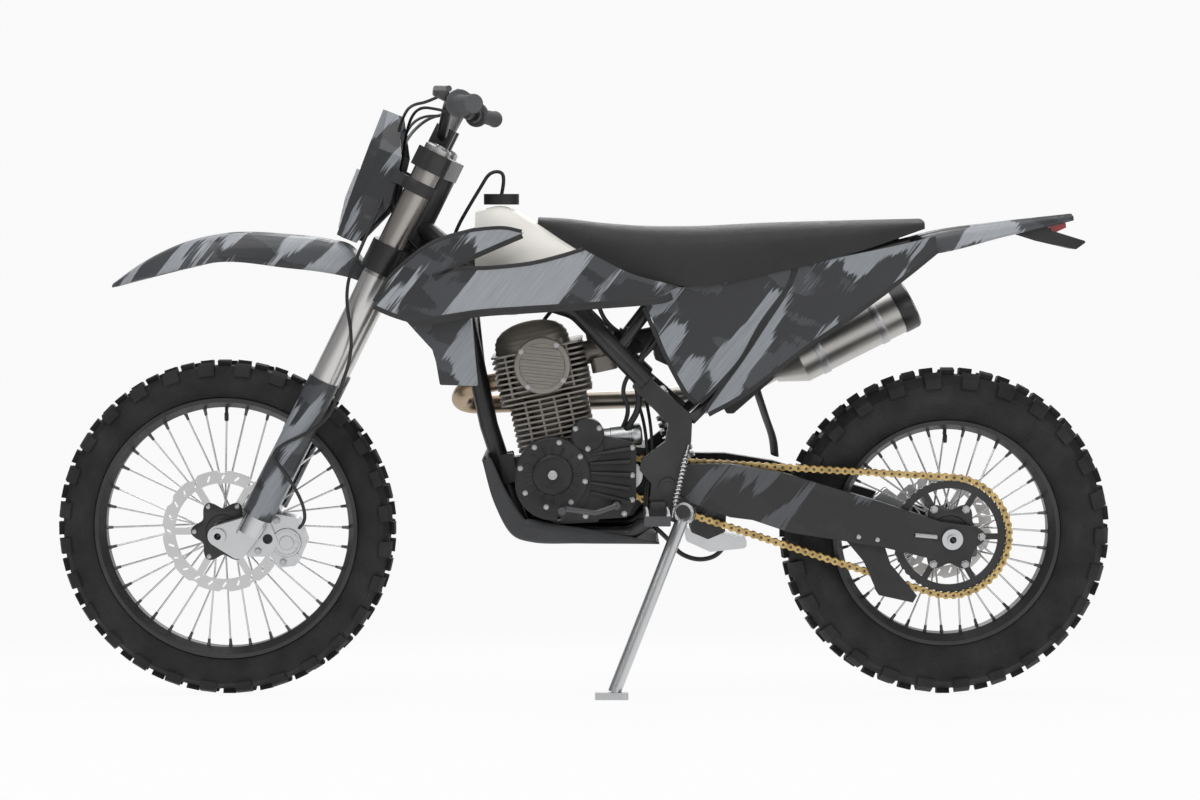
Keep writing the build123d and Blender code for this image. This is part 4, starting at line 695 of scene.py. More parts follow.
# Along the bar, radius
GRIP_FLANGE = [(0.0, 11.4), (0.0, 25.5), (1.2, 26.8), (3.8, 26.8), (5.0, 25.5), (5.6, 18.0)]
GRIP_TIP = [(0.0, 18.0), (3.0, 18.2), (5.5, 16.0), (6.0, 5.0)]


class ENDURO_OT_grips(Operator):
    """Make the ribbed grips"""

    bl_idname = "enduro.grips"
    bl_label = "Grips"

    def execute(self, context):
        """A turned profile along each bar end: a flange, a barrel with sine rings, and a rounded end."""
        count = sizes().grip_ribs
        along = np.linspace(7.0, GRIP_LENGTH - 2.0, count * 6)
        share = along / GRIP_LENGTH
        barrel = GRIP_R + GRIP_RING * np.sin(2 * pi * count * share) - GRIP_WAIST * np.sin(pi * share)
        end = np.array(GRIP_TIP) + np.array([GRIP_LENGTH, 0.0])
        profile = np.vstack([GRIP_FLANGE, np.stack([along, barrel], axis=1), end])
        for side, label in SIDES:
            flip = np.array([1.0, side, 1.0])
            inner = steered((BAR_END - BAR_RUN * GRIP_LENGTH) * flip)
            axis = steered(BAR_RUN * flip) - STEER_ORIGIN
            grid = turned(profile, inner, axis, 40)
            closed("grip_" + label, grid, "steering", "grip_rubber", CREASE, ("grips",))
        return {"FINISHED"}


CLAMP_FOOT = 620.0
CLAMP_GAP = 0.6


def under_clamp(x):
    """Height of the lower clamp's underside at x."""
    foot = STEER_ORIGIN + CLAMP_FOOT * STEER_Z
    return foot[2] + (x - foot[0]) * tan(RAKE) - CLAMP_GAP


# Across an arched shell: share of the half width, share of the side drop
ARCH = [(0.0, 0.0), (0.4, 0.015), (0.7, 0.11), (0.86, 0.32), (1.0, 1.0)]
ARCH_POWER = 0.8
RIDGE = 2.4
RIDGE_PLACE = 0.42
RIDGE_SPREAD = 0.004


def arched(table, x, columns):
    """A shell arched over the middle: each station's height less the arch's drop across the width."""
    top, half, drop = through(table, x).T
    across = np.linspace(-1.0, 1.0, columns)
    across = signed_power(across, ARCH_POWER)
    share = through(ARCH, np.abs(across))[:, 0]
    y = half[:, None] * across[None]
    ridge = RIDGE * np.exp(-((across / RIDGE_PLACE - np.sign(across)) ** 2) / RIDGE_SPREAD)
    z = top[:, None] - drop[:, None] * share[None] - RIDGE + ridge[None]
    return np.stack([np.broadcast_to(x[:, None], y.shape), y, z], axis=-1)


def shell(name, grid, skin):
    """A sheet over a grid, thickened inward."""
    piece = surface(name, grid, sharp=50.0)
    wall = piece.modifiers.new("skin", "SOLIDIFY")
    wall.thickness = skin
    wall.offset = -1.0
    return piece


# x, top z, half width, side drop
FRONT_FENDER = [
    (372.0, under_clamp(372.0), 42.0, 16.0),
    (450.0, under_clamp(450.0), 58.0, 36.0),
    (474.0, 926.0, 64.0, 58.0),
    (520.0, 942.0, 68.0, 64.0),
    (600.0, 952.0, 72.0, 64.0),
    (740.0, 954.0, 75.0, 54.0),
    (830.0, 932.0, 66.0, 50.0),
    (910.0, 892.0, 44.0, 30.0),
    (967.0, 852.0, 15.0, 5.0),
]
REAR_FENDER = [
    (-989.0, 994.0, 33.0, 10.0),
    (-846.0, 978.0, 65.0, 26.0),
    (-700.0, 957.0, 77.0, 40.0),
    (-633.0, 938.0, 73.0, 26.0),
]


class ENDURO_OT_fenders(Operator):
    """Make the front and rear fender shells"""

    bl_idname = "enduro.fenders"
    bl_label = "Fenders"

    def execute(self, context):
        """Arched shells through each fender's stations."""
        shells = [
            ("front_fender", "steering", FRONT_FENDER, (374.0, 967.0), 90, 45),
            ("rear_fender", "chassis", REAR_FENDER, (-989.0, -633.0), 50, 37),
        ]
        for name, body, stations, ends, rows, columns in shells:
            grid = arched(stations, np.linspace(*ends, rows), columns)
            piece = shell(name + "_shell", grid[:, ::-1], sizes().fender_skin)
            settle(piece, body, "pale_brush", (name,))
        return {"FINISHED"}


def route(name, points, radius):
    """A round hose or cable on a smooth curve whose control points are given upright, in millimetres."""
    curve = bpy.data.curves.new(name, "CURVE")
    curve.dimensions = "3D"
    spline = curve.splines.new("NURBS")
    spline.points.add(len(points) - 1)
    flat = np.hstack([park(points), np.ones((len(points), 1))])
    spline.points.foreach_set("co", flat.ravel())
    spline.order_u = 3
    spline.use_endpoint_u = True
    spline.resolution_u = 10
    curve.bevel_depth = radius
    curve.bevel_resolution = 3
    curve.use_fill_caps = True
    piece = bpy.data.objects.new(name, curve)
    bpy.context.scene.collection.objects.link(piece)
    return piece


def as_mesh(piece, name):
    """The same shape as a mesh object, in place of a curve."""
    graph = bpy.context.evaluated_depsgraph_get()
    mesh = bpy.data.meshes.new_from_object(piece.evaluated_get(graph))
    curve = piece.data
    bpy.data.objects.remove(piece)
    bpy.data.curves.remove(curve)
    mesh.name = name
    mesh.shade_smooth()
    made = bpy.data.objects.new(name, mesh)
    bpy.context.scene.collection.objects.link(made)
    return made


# Ahead, left and up in the steering's frame
BRAKE_RUN = [
    (50, -247, 994), (66, -232, 962), (92, -200, 940), (104, -120, 900), (96, 10, 860), (84, 70, 790),
    (74, 116, 720), (70, 142, 640), (62, 148, 560), (-4, 146, 470), (-18, 144, 380), (-22, 142, 300),
]
# From the front axle
BRAKE_LOOP = [
    (-104, 142, 176), (-140, 142, 132), (-170, 134, 78), (-176, 112, 38), (-164, 84, 14), (-150, 66, 4),
]
VENT_RUN = [
    (172, 0, 1032), (166, 0, 1058), (170, 0, 1080), (196, 0, 1078), (214, 0, 1048),
    (240, -4, 1006), (262, -6, 968), (276, -10, 930), (280, -16, 900),
]
VENT_R = 0.0038
# Share of the frame's run to the left, and the way down in the steering's frame
BAR_LINES = {
    "clutch_cable": (1.0, [
        (50, 242, 992), (70, 236, 966), (96, 200, 950), (112, 120, 930),
        (112, 60, 880), (84, 30, 800), (60, 34, 730),
    ]),
    "throttle_cable": (0.92, [
        (24, -222, 982), (36, -206, 966), (60, -180, 960), (108, -90, 930),
        (106, -20, 870), (80, 10, 800), (58, 30, 726),
    ]),
    "switch_lead": (-1.0, [
        (22, 224, 980), (30, 204, 966), (48, 176, 964), (96, 110, 950),
        (104, 30, 900), (78, -34, 810), (58, -36, 728),
    ]),
}
FRAME_RUN = np.array([(330.0, 42.0, 905.0), (270.0, 52.0, 892.0), (215.0, 70.0, 880.0), (160.0, 72.0, 862.0)])
BLEND_START = (106.0, 20.0, 870.0)
BLEND_END = np.array([300.0, 46.0, 898.0])


class ENDURO_OT_cables(Operator):
    """Make the brake hose, the control cables and the tank's vent"""

    bl_idname = "enduro.cables"
    bl_label = "Cables"

    def execute(self, context):
        """Each runs on a smooth curve; the hose hangs on the steering, the vent on the chassis, and those that
        cross the steering are plain meshes on no body.
        """
        brake = np.vstack([steered(BRAKE_RUN), FRONT_AXLE + np.array(BRAKE_LOOP, dtype=float)])
        settle(route("brake_hose", brake, sizes().hose_radius), "steering", "hose_rubber")
        settle(route("vent_line", VENT_RUN, VENT_R), "chassis", "hose_rubber")
        for name, (side, points) in BAR_LINES.items():
            flip = np.array([1.0, side, 1.0])
            line = np.vstack([steered(points), FRAME_RUN * flip])
            piece = as_mesh(route(name + "_line", line, sizes().cable_radius), name)
            wear(piece, "hose_rubber")
            start = park(steered(BLEND_START))
            end = park(BLEND_END * flip)
            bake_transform(piece)
        return {"FINISHED"}


SPRING_TOP = np.array([-206.0, 134.0, 535.0])
SPRING_FOOT = np.array([-172.0, 163.0, 392.0])
SPRING_COILS = 19
SPRING_R = 5.5
SPRING_WIRE = 1.7
HOOK_SHARE = 0.14


class ENDURO_OT_springs(Operator):
    """Make the side stand's spring"""

    bl_idname = "enduro.springs"
    bl_label = "Springs"

    def execute(self, context):
        """A helix round the line from the frame's peg to the stand's tab, with straight ends."""
        t = np.linspace(0.0, 1.0, 400)
        grown = SPRING_R * np.clip(np.minimum(t, 1 - t) / HOOK_SHARE - 0.6, 0.0, 1.0)
        span = SPRING_FOOT - SPRING_TOP
        line = SPRING_TOP + t[:, None] * span
        along = span / np.linalg.norm(span)
        across = np.cross(along, LEFT)
        across /= np.linalg.norm(across)
        up = np.cross(along, across)
        turn = 2 * pi * SPRING_COILS * t
        path = line + grown[:, None] * (np.cos(turn)[:, None] * across + np.sin(turn)[:, None] * up)
        piece = surface("stand_spring", tube_grid(path, SPRING_WIRE, 8), wrap=True, caps=True)
        wear(piece, "spoke_steel")
        tuple(park(SPRING_TOP))
        tuple(park(SPRING_FOOT))
        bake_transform(piece)
        return {"FINISHED"}


def circle_places(x, y, z, radius, count, start=0.0):
    """Places evenly round a circle in a side plane."""
    angle = start + np.arange(count) * 2 * pi / count
    return np.stack([x + radius * np.cos(angle), np.full(count, y), z + radius * np.sin(angle)], axis=1)


def fixed(name, shape, places, axis, body, finish_name):
    """Copies of a fastener at places on one body, all facing one way."""
    places = np.asarray(places, dtype=float)
    frames = frames_along(np.repeat(np.asarray(axis, dtype=float)[None], len(places), axis=0))
    return settle(outward(repeated(name, shape, places, frames)), body, finish_name)


# x and z round the engine's side covers
COVER_EDGE = [
    (128, 440), (120, 483), (48, 503), (16, 546), (-28, 543), (-94, 526),
    (-94, 470), (-94, 420), (-78, 392), (0, 387), (54, 384), (110, 414),
]
LEFT_COVER_Y = 108.0
RIGHT_COVER_Y = -114.0
CASE_BOLT_Y = 118.0
CRANK = np.array([66.0, 113.6, 472.0])
GEAR = np.array([-4.0, 113.6, 552.0])
HEAD_CAP = np.array([87.0, 99.0, 690.0])


class ENDURO_OT_fasteners(Operator):
    """Make the bolts of the sprocket and the engine"""

    bl_idname = "enduro.fasteners"
    bl_label = "Fasteners"

    def execute(self, context):
        sprocket = circle_places(REAR_AXLE[0], 78.4, REAR_AXLE[2], 65.0, 6)
        fixed("sprocket_bolts", hex_bolt(6.5, 4.4), sprocket, LEFT, "rear_wheel", "zinc")
        edge = [(x, LEFT_COVER_Y, z) for x, z in COVER_EDGE]
        fixed("cover_bolts_left", hex_bolt(4.6, 6.0), edge, LEFT, "chassis", "zinc")
        edge = [(x * 0.97, RIGHT_COVER_Y, min(z, 500)) for x, z in COVER_EDGE if x > -90]
        fixed("cover_bolts_right", hex_bolt(4.6, 6.0), edge, -LEFT, "chassis", "zinc")
        crank = circle_places(CRANK[0], CASE_BOLT_Y, CRANK[2], 66.5, 8, 0.2)
        gear = circle_places(GEAR[0], CASE_BOLT_Y, GEAR[2], 27.5, 3, 0.5)
        fixed("case_bolts", hex_bolt(4.4, 5.5), np.vstack([crank, gear]), LEFT, "chassis", "zinc")
        head = circle_places(HEAD_CAP[0], 104.0, HEAD_CAP[2], 51.0, 4, 0.6)
        fixed("head_bolts", hex_bolt(4.6, 6.0), head, LEFT, "chassis", "zinc")
        return {"FINISHED"}


# Profile rows of (height, radius)
CRANK_STEPS = [
    (-26, 75), (3, 75), (5, 72.5), (5, 60), (3.4, 57),
    (3.4, 42), (7, 39), (9, 36), (9, 24), (7.6, 22), (7.6, 6),
]
GEAR_STEPS = [(-26, 33), (3, 33), (5, 31), (5, 24), (3.6, 22), (3.6, 5)]
CLUTCH_STEPS = [(-12, 64), (3, 64), (6, 61), (6, 50), (4.4, 48), (4.4, 30), (7, 28), (7, 4)]
PLUG_STEPS = [(0, 9.5), (2.6, 9.5), (3.4, 8.6), (3.4, 5.4), (1.4, 5.0), (1.4, 2.0)]
# Profile, centre, direction, sides, finish
ENGINE_CAPS = {
    "crank_cap": (CRANK_STEPS, CRANK, LEFT, 72, "engine_black"),
    "gear_cap": (GEAR_STEPS, GEAR, LEFT, 48, "engine_black"),
    "clutch_cap": (CLUTCH_STEPS, (12.0, -113.6, 448.0), -LEFT, 64, "engine_black"),
    "oil_plug": (PLUG_STEPS, (66.0, 122.0, 472.0), LEFT, 24, "zinc"),
}
CRANK_RIBS = 16
# Rise of each rib's near and far end
COVER_RIBS = [(46, 66), (28, 40), (9, 13), (-11, -16), (-30, -44)]


class ENDURO_OT_engine_trim(Operator):
    """Make the stepped caps and ribs of the engine's covers"""

    bl_idname = "enduro.engine_trim"
    bl_label = "Engine trim"

    def execute(self, context):
        """Turned steps about the crank's line, and bars set radially round it."""
        for name, (steps, centre, axis, sides, metal) in ENGINE_CAPS.items():
            ring_piece(name, steps, centre, axis, sides, "chassis", metal)
        angle = np.arange(CRANK_RIBS) * 2 * pi / CRANK_RIBS
        bar = tube_grid([[-8.0, 0.0, 0.0], [8.0, 0.0, 0.0]], 2.2, 6)
        radial = np.stack([np.cos(angle), np.zeros(CRANK_RIBS), np.sin(angle)], axis=1)
        out = np.repeat(LEFT[None], CRANK_RIBS, axis=0)
        frames = np.stack([radial, np.cross(out, radial), out], axis=2)
        places = CRANK + radial * 50.0 + 4.0 * LEFT
        settle(repeated("crank_ribs", bar, places, frames), "chassis", "engine_black")
        for number, (near, far) in enumerate(COVER_RIBS):
            middle = (near + far) / 2
            path = [(-10.0, 113.0, 466.0 + near), (-52.0, 114.5, 462.0 + middle), (-90.0, 114.5, 458.0 + far)]
            bar_piece(f"cover_rib_{number}", path, [3.0, 4.6, 5.4], 10, "chassis", "engine_black")
        return {"FINISHED"}


MUFFLER_START = np.array([-400.0, -178.0, 655.0])
MUFFLER_RUN = np.array([-690.0, -182.0, 803.0]) - MUFFLER_START
MUFFLER_LONG = np.linalg.norm(MUFFLER_RUN)
# Profile rows of (height, radius)
MUFFLER_BAND = [(0, 51.6), (0, 53.6), (1, 54.2), (15, 54.2), (16, 53.6), (16, 51.6)]
MUFFLER_END = [(-34, 51.7), (-34, 54.0), (-4, 54.0), (1.5, 50), (1.5, 30), (-6, 24), (-20, 16.2)]
FORK_CAP = [(889, 27.0), (895, 27.0), (898, 24.5), (898, 12.0), (901, 11.0), (901, 2.0)]
FORK_SEAL = [(330, 24.2), (330, 29.5), (334, 31.0), (345, 31.0), (349, 28.4), (349, 27.2)]
MASK_STRAP = [(794.4, 28.0), (794.4, 33.0), (796.0, 33.8), (818.0, 33.8), (819.6, 33.0), (819.6, 28.0)]
FORK_SLEEVE = [(352, 27.1), (352, 27.5), (612, 27.5), (612, 27.1)]
FORK_AHEAD = 22.0
FORK_HALF = 108.0
PEG_ROWS = [-121.0, -163.0]
PEG_TOP = 403.6


class ENDURO_OT_trim(Operator):
    """Make the muffler's bands, the fork's seals, caps and straps, and the teeth of the footpegs"""

    bl_idname = "enduro.trim"
    bl_label = "Trim"

    def execute(self, context):
        """Turned rings along the muffler and the fork legs, and four-sided pyramids along the pegs."""
        for number, place in enumerate((96.0, 236.0)):
            spot = MUFFLER_START + MUFFLER_RUN * place / MUFFLER_LONG
            band_piece(f"muffler_band_{number}", MUFFLER_BAND, spot, MUFFLER_RUN, 64, "chassis", "zinc")
        end = np.array(MUFFLER_END) + np.array([MUFFLER_LONG, 0.0])
        band_piece("muffler_end", end, MUFFLER_START, MUFFLER_RUN, 64, "chassis", "black_metal")
        for side, label in SIDES:
            foot = steered((FORK_AHEAD, side * FORK_HALF, 0.0))
            band_piece("fork_seal_" + label, FORK_SEAL, foot, STEER_Z, 48, "steering", "black_plastic")
            ring_piece("fork_cap_" + label, FORK_CAP, foot, STEER_Z, 48, "steering", "zinc")
            band_piece("mask_strap_" + label, MASK_STRAP, foot, STEER_Z, 48, "steering", "black_plastic")
            band_piece("fork_sleeve_" + label, FORK_SLEEVE, foot, STEER_Z, 48, "steering", "fork_silver")
        y = np.linspace(138.0, 222.0, 9)
        rows = np.stack(np.meshgrid(PEG_ROWS, np.concatenate([y, -y]), indexing="ij"), axis=-1).reshape(-1, 2)
        places = np.hstack([rows, np.full((len(rows), 1), PEG_TOP)])
        tooth = turned([(0, 5.6), (6.5, 2.2)], ORIGIN, UP, 4)
        fixed("peg_teeth", tooth, places, UP, "chassis", "zinc")
        return {"FINISHED"}


CYL_LEAN = radians(12.0)
CYL_X = np.array([cos(CYL_LEAN), 0.0, -sin(CYL_LEAN)])
CYL_Z = np.array([sin(CYL_LEAN), 0.0, cos(CYL_LEAN)])
CYL_FOOT = np.array([55.0, 0.0, 512.0])


def on_cylinder(points):
    """Points in the cylinder's frame (forward, left, up its axis) to upright ones."""
    points = np.asarray(points, dtype=float)
    return CYL_FOOT + points[..., :1] * CYL_X + points[..., 1:2] * LEFT + points[..., 2:] * CYL_Z


DOME_FOOT = 214.0
DOME_RISE = 56.0
DOME_HALF = (77.0, 69.0)
DOME_AHEAD = 9.0
DOME_POWER = 0.72
CAP_STEPS = [(-16, 57), (1, 57), (4, 55.5), (5.5, 52), (5.5, 47), (3.6, 45), (3.6, 2)]
CAP_RIB_REACH = 45.0
CAP_RIB_Y = 102.4
# Forward, to the side, lower and upper end along the cylinder
FIN_POSTS = [
    (-44, 70, 12, 112), (-14, 72, 12, 112), (16, 72, 12, 112),
    (46, 70, 12, 112), (-60, 84, 128, 212), (66, 84, 128, 212),
]
STARTER = [
    (-3, 12), (0, 21), (3, 22.4), (18, 22.4), (19, 21.6), (22, 21.6),
    (23, 22.4), (60, 22.4), (61, 21.4), (74, 21.4), (77, 14), (77, 4),
]
STARTER_END = (-112.0, 58.0, 548.0)
STARTER_AXIS = (74.0, 0.0, -8.0)


class ENDURO_OT_head(Operator):
    """Make the domed head cover, its side cap, the posts between the fins and the starter"""

    bl_idname = "enduro.head"
    bl_label = "Cylinder head"

    def execute(self, context):
        """The dome stacks superellipses that shrink with a power of the height; posts run along the axis."""
        share = np.sin(np.linspace(0.0, pi / 2, 26))
        angle = np.linspace(0.0, 2 * pi, 72, endpoint=False)
        shrink = np.sqrt(np.maximum(1.0 - share**3, 0.0))
        rib = 1.0 + 0.014 * np.sin(share * 34.0)
        radius = np.maximum(shrink * rib, 0.02)[:, None]
        x = DOME_AHEAD + DOME_HALF[0] * radius * signed_power(np.cos(angle), DOME_POWER)
        y = DOME_HALF[1] * radius * signed_power(np.sin(angle), DOME_POWER)
        z = np.broadcast_to((DOME_FOOT + DOME_RISE * share)[:, None], x.shape)
        dome = on_cylinder(np.stack([x, y, z], axis=-1))
        closed("head_dome", dome, "chassis", "cylinder_bronze", 50.0)
        ring_piece("head_cap", CAP_STEPS, HEAD_CAP, LEFT, 64, "chassis", "cylinder_bronze")
        for number, rise in enumerate((-34.0, -20.0, -7.0, 7.0, 20.0, 34.0)):
            reach = sqrt(CAP_RIB_REACH**2 - rise**2)
            low = (HEAD_CAP[0] - reach, CAP_RIB_Y, HEAD_CAP[2] + rise - 0.1 * reach)
            high = (HEAD_CAP[0] + reach, CAP_RIB_Y, HEAD_CAP[2] + rise + 0.1 * reach)
            bar_piece(f"head_cap_rib_{number}", [low, high], 3.2, 10, "chassis", "cylinder_bronze")
        for number, (ahead, out, low, high) in enumerate(FIN_POSTS):
            for side, label in SIDES:
                post = on_cylinder([(ahead, side * out, low), (ahead, side * out, high)])
                bar_piece(f"fin_post_{number}_{label}", post, 3.4, 10, "chassis", "cylinder_bronze")
        ring_piece("starter_shell", STARTER, STARTER_END, STARTER_AXIS, 40, "chassis", "aluminium")
        return {"FINISHED"}


CARRIER_LOBES = 6
# Heights of wall, top and floor, bevel, inner radii
DISC_STEPS = ((3.0, 3.6, 1.4), 1.2, (36.0, 34.0, 22.5))
SPROCKET_STEPS = ((2.4, 3.0, 1.0), 1.0, (44.0, 42.0, 24.0))
# Axle, y, facing side, mean radius, lobe, steps, body
CARRIERS = {
    "front_carrier": (FRONT_AXLE, 58.2, 1.0, 57.0, 9.0, *DISC_STEPS, "front_wheel"),
    "rear_carrier": (REAR_AXLE, -62.2, -1.0, 50.0, 8.0, *DISC_STEPS, "rear_wheel"),
    "sprocket_carrier": (REAR_AXLE, 75.6, 1.0, 64.0, 9.0, *SPROCKET_STEPS, "rear_wheel"),
}
# From the front axle
CALIPER_BOLTS = [(-112.0, 78.0, 26.0), (-124.0, 78.0, -60.0), (-74.0, 83.0, -36.0), (-70.0, 83.0, 20.0)]
CALIPER_CAP = [(-1, 30), (2, 30), (4, 28.6), (4, 25), (2.6, 24), (2.6, 15), (4.4, 13.6), (4.4, 2)]
CALIPER_BOOT = [(0, 10), (3, 10), (4, 9), (4, 6), (2, 5), (2, 1)]
# From the rear axle
GUIDE_BOLTS = [(188.0, 104.0, 4.0), (150.0, 104.0, -2.0)]


class ENDURO_OT_brakes(Operator):
    """Make the discs' and sprocket's dark carriers, the chain adjusters and the front caliper's details"""

    bl_idname = "enduro.brakes"
    bl_label = "Brakes"

    def execute(self, context):
        """A carrier's rim is r = r0 + a cos(6 angle), one lobe to each arm, raised by a small step."""
        angle = np.linspace(0.0, 2 * pi, 96, endpoint=False)
        even = np.ones_like(angle)
        for name, (axle, y, side, mean, lobe, heights, bevel, inner, body) in CARRIERS.items():
            wall, top, floor = heights
            rim = mean + lobe * np.cos(CARRIER_LOBES * angle)
            radii = np.stack([rim, rim, rim - bevel, *(even * radius for radius in inner)])
            rises = np.array([0.0, wall, top, top, floor, floor])
            x = axle[0] + radii * np.cos(angle)
            z = axle[2] + radii * np.sin(angle)
            flat = np.broadcast_to((y + side * rises)[:, None], x.shape)
            piece = surface(name, np.stack([x, flat, z], axis=-1), wrap=True, sharp=40.0)
            settle(outward(piece), body, "black_metal")
            if name != "sprocket_carrier":
                bolts = circle_places(axle[0], y + side * top, axle[2], mean + 2.0, CARRIER_LOBES)
                fixed(name + "_bolts", button(5.4, 3.0), bolts, side * LEFT, body, "zinc")
        guide = REAR_AXLE + np.array(GUIDE_BOLTS)
        fixed("guide_bolts", button(5.4, 3.2), guide, LEFT, "chassis", "zinc")
        for side, label in SIDES:
            screw = REAR_AXLE + np.array([(30.0, side * 106.0, 4.0), (74.0, side * 106.0, 8.0)])
            bar_piece("adjuster_" + label, screw, 5.0, 12, "chassis", "zinc")
        cap = FRONT_AXLE + np.array([-132.0, 78.0, -20.0])
        ring_piece("caliper_cap", CALIPER_CAP, cap, LEFT, 40, "steering", "aluminium")
        bolts = FRONT_AXLE + np.array(CALIPER_BOLTS)
        fixed("caliper_bolts", hex_bolt(6.4, 6.0), bolts, LEFT, "steering", "zinc")
        boot = FRONT_AXLE + np.array([-94.0, 83.0, -12.0])
        ring_piece("caliper_boot", CALIPER_BOOT, boot, LEFT, 28, "steering", "black_plastic")
        for number in range(4):
            rise = -44.0 + 13.0 * number
            tip = -166.0 + abs(rise + 20.0) * 0.3
            fin = FRONT_AXLE + np.array([(-148.0, 79.0, rise), (tip, 75.0, rise)])
            bar_piece(f"caliper_fin_{number}", fin, 3.0, 8, "steering", "aluminium")
        return {"FINISHED"}


SPOKES = 36
SPOKE_SPREAD = radians(20.0)
SPOKE_RIM_Y = 6.0
SPOKE_HEAD_STEP = 3.5
# Axle, reach to the rim, radius and y of the hub's flange
LACED = {"front": (FRONT_AXLE, 249.4, 35.2, 32.0), "rear": (REAR_AXLE, 212.4, 43.2, 36.0)}
NIPPLE = [(0, 2.0), (1, 3.0), (11, 3.4), (12, 4.0), (16, 4.0)]
NIPPLE_BACK = 14.0
VALVE = [(0, 3.0), (12, 3.0), (14, 4.4), (28, 4.4), (30, 3.0), (30, 1.0)]


class ENDURO_OT_nipples(Operator):
    """Make the spoke nipples of both wheels and the valve stems"""

    bl_idname = "enduro.nipples"
    bl_label = "Spoke nipples"

    def execute(self, context):
        """Each nipple is a turned sleeve on its spoke's line, which runs from the hub's flange to the rim."""
        number = np.arange(SPOKES)
        side = np.where(number % 2 == 0, 1.0, -1.0)
        turn = number // 2
        lay = np.where(turn % 2 == 0, 1.0, -1.0)
        pitch = 2 * pi / (SPOKES // 2)
        rim_angle = pitch * turn + (side - 1.0) * pitch / 4
        hub_angle = rim_angle + lay * SPOKE_SPREAD
        sleeve = turned(NIPPLE, ORIGIN, UP, 8)
        for label, (axle, reach, flange, flange_y) in LACED.items():
            body = label + "_wheel"
            rim = [reach * np.cos(rim_angle), side * SPOKE_RIM_Y, reach * np.sin(rim_angle)]
            hub_y = side * flange_y + lay * SPOKE_HEAD_STEP
            hub = [flange * np.cos(hub_angle), hub_y, flange * np.sin(hub_angle)]
            end = axle + np.stack(rim, axis=1)
            along = end - axle - np.stack(hub, axis=1)
            along /= np.linalg.norm(along, axis=1, keepdims=True)
            nipples = repeated(label + "_nipples", sleeve, end - NIPPLE_BACK * along, frames_along(along))
            settle(outward(nipples), body, "dark_steel")
            stem = axle + (reach + 1.0) * UP
            ring_piece(label + "_valve", VALVE, stem, -UP, 16, body, "black_plastic")
        return {"FINISHED"}


# Share of the way down, x, z, half width
FLAP = [
    (0.0, -344.0, 706.0, 66.0),
    (0.3, -352.0, 650.0, 64.0),
    (0.6, -372.0, 586.0, 60.0),
    (0.85, -390.0, 532.0, 54.0),
    (1.0, -394.0, 500.0, 46.0),
]
FLAP_BOW = 10.0


class ENDURO_OT_flap(Operator):
    """Make the mud flap behind the shock absorber"""

    bl_idname = "enduro.flap"
    bl_label = "Mud flap"

    def execute(self, context):
        """A bowed sheet carried down a side curve, narrowed at its foot."""
        x, z, half = through(FLAP, np.linspace(0.0, 1.0, 40)).T
        across = np.linspace(-1.0, 1.0, 17)
        y = half[:, None] * across[None]
        bow = FLAP_BOW * (1.0 - across**2)
        grid = np.stack([x[:, None] + bow[None], y, np.broadcast_to(z[:, None], y.shape)], axis=-1)
        settle(shell("mud_flap", grid, sizes().fender_skin), "chassis", "black_plastic")
        return {"FINISHED"}


# Radius in metres, and control points
HOSES = {
    "fuel_line": (0.0045, [(-24, 64, 822), (-30, 66, 790), (-62, 58, 756), (-96, 36, 742), (-110, 20, 728)]),
    "breather_line": (0.0065, [
        (-66, 50, 528), (-84, 76, 560), (-112, 88, 610), (-100, 92, 664), (-116, 80, 720), (-150, 56, 760),
    ]),
    "starter_lead": (0.0045, [
        (-74, 62, 560), (-92, 84, 596), (-70, 96, 640), (-96, 98, 690), (-140, 94, 730), (-170, 84, 780),
    ]),
    "spark_lead": (0.0040, [
        (96, -40, 760), (74, -56, 796), (30, -60, 818), (-16, -44, 840), (-50, -20, 856),
    ]),
    "overflow_a": (0.0035, [
        (-96, 16, 676), (-104, 34, 620), (-122, 60, 560), (-126, 74, 480), (-118, 96, 400), (-120, 100, 360),
    ]),
    "overflow_b": (0.0035, [
        (-112, -8, 676), (-120, 26, 630), (-132, 66, 570), (-136, 82, 500), (-122, 98, 420), (-126, 101, 362),
    ]),
    "drain_loop": (0.0050, [
        (-140, -40, 345), (-176, -46, 312), (-196, -50, 282),
        (-242, -50, 268), (-286, -46, 286), (-296, -40, 322),
    ]),
    "harness": (0.0080, [
        (216, -66, 880), (150, -74, 842), (60, -74, 806), (0, -80, 784), (-70, -96, 720), (-100, -98, 690),
    ]),
}
BOOT_START = (-150.0, 0.0, 182.0)
BOOT_LONG = 44.0
BOOT_R = 29.0
BOOT_FOLD = 2.6
BOOT_PITCH = 11.0
BOOT_FLARE = 0.16


class ENDURO_OT_plumbing(Operator):
    """Make the hoses and leads behind the engine"""

    bl_idname = "enduro.plumbing"
    bl_label = "Plumbing"

    def execute(self, context):
        """Each hose is a smooth curve on the chassis; the intake boot is turned, with sine folds."""
        for name, (radius, points) in HOSES.items():
            settle(route(name, points, radius), "chassis", "hose_rubber")
        along = np.linspace(0.0, BOOT_LONG, 45)
        folds = BOOT_R + BOOT_FOLD * np.sin(along * 2 * pi / BOOT_PITCH) + along * BOOT_FLARE
        profile = np.stack([along, folds], axis=1)
        start = on_cylinder(BOOT_START)
        ring_piece("intake_boot", profile, start, -CYL_X, 48, "chassis", "black_plastic")
        return {"FINISHED"}


BLOCK_POWER = 0.5


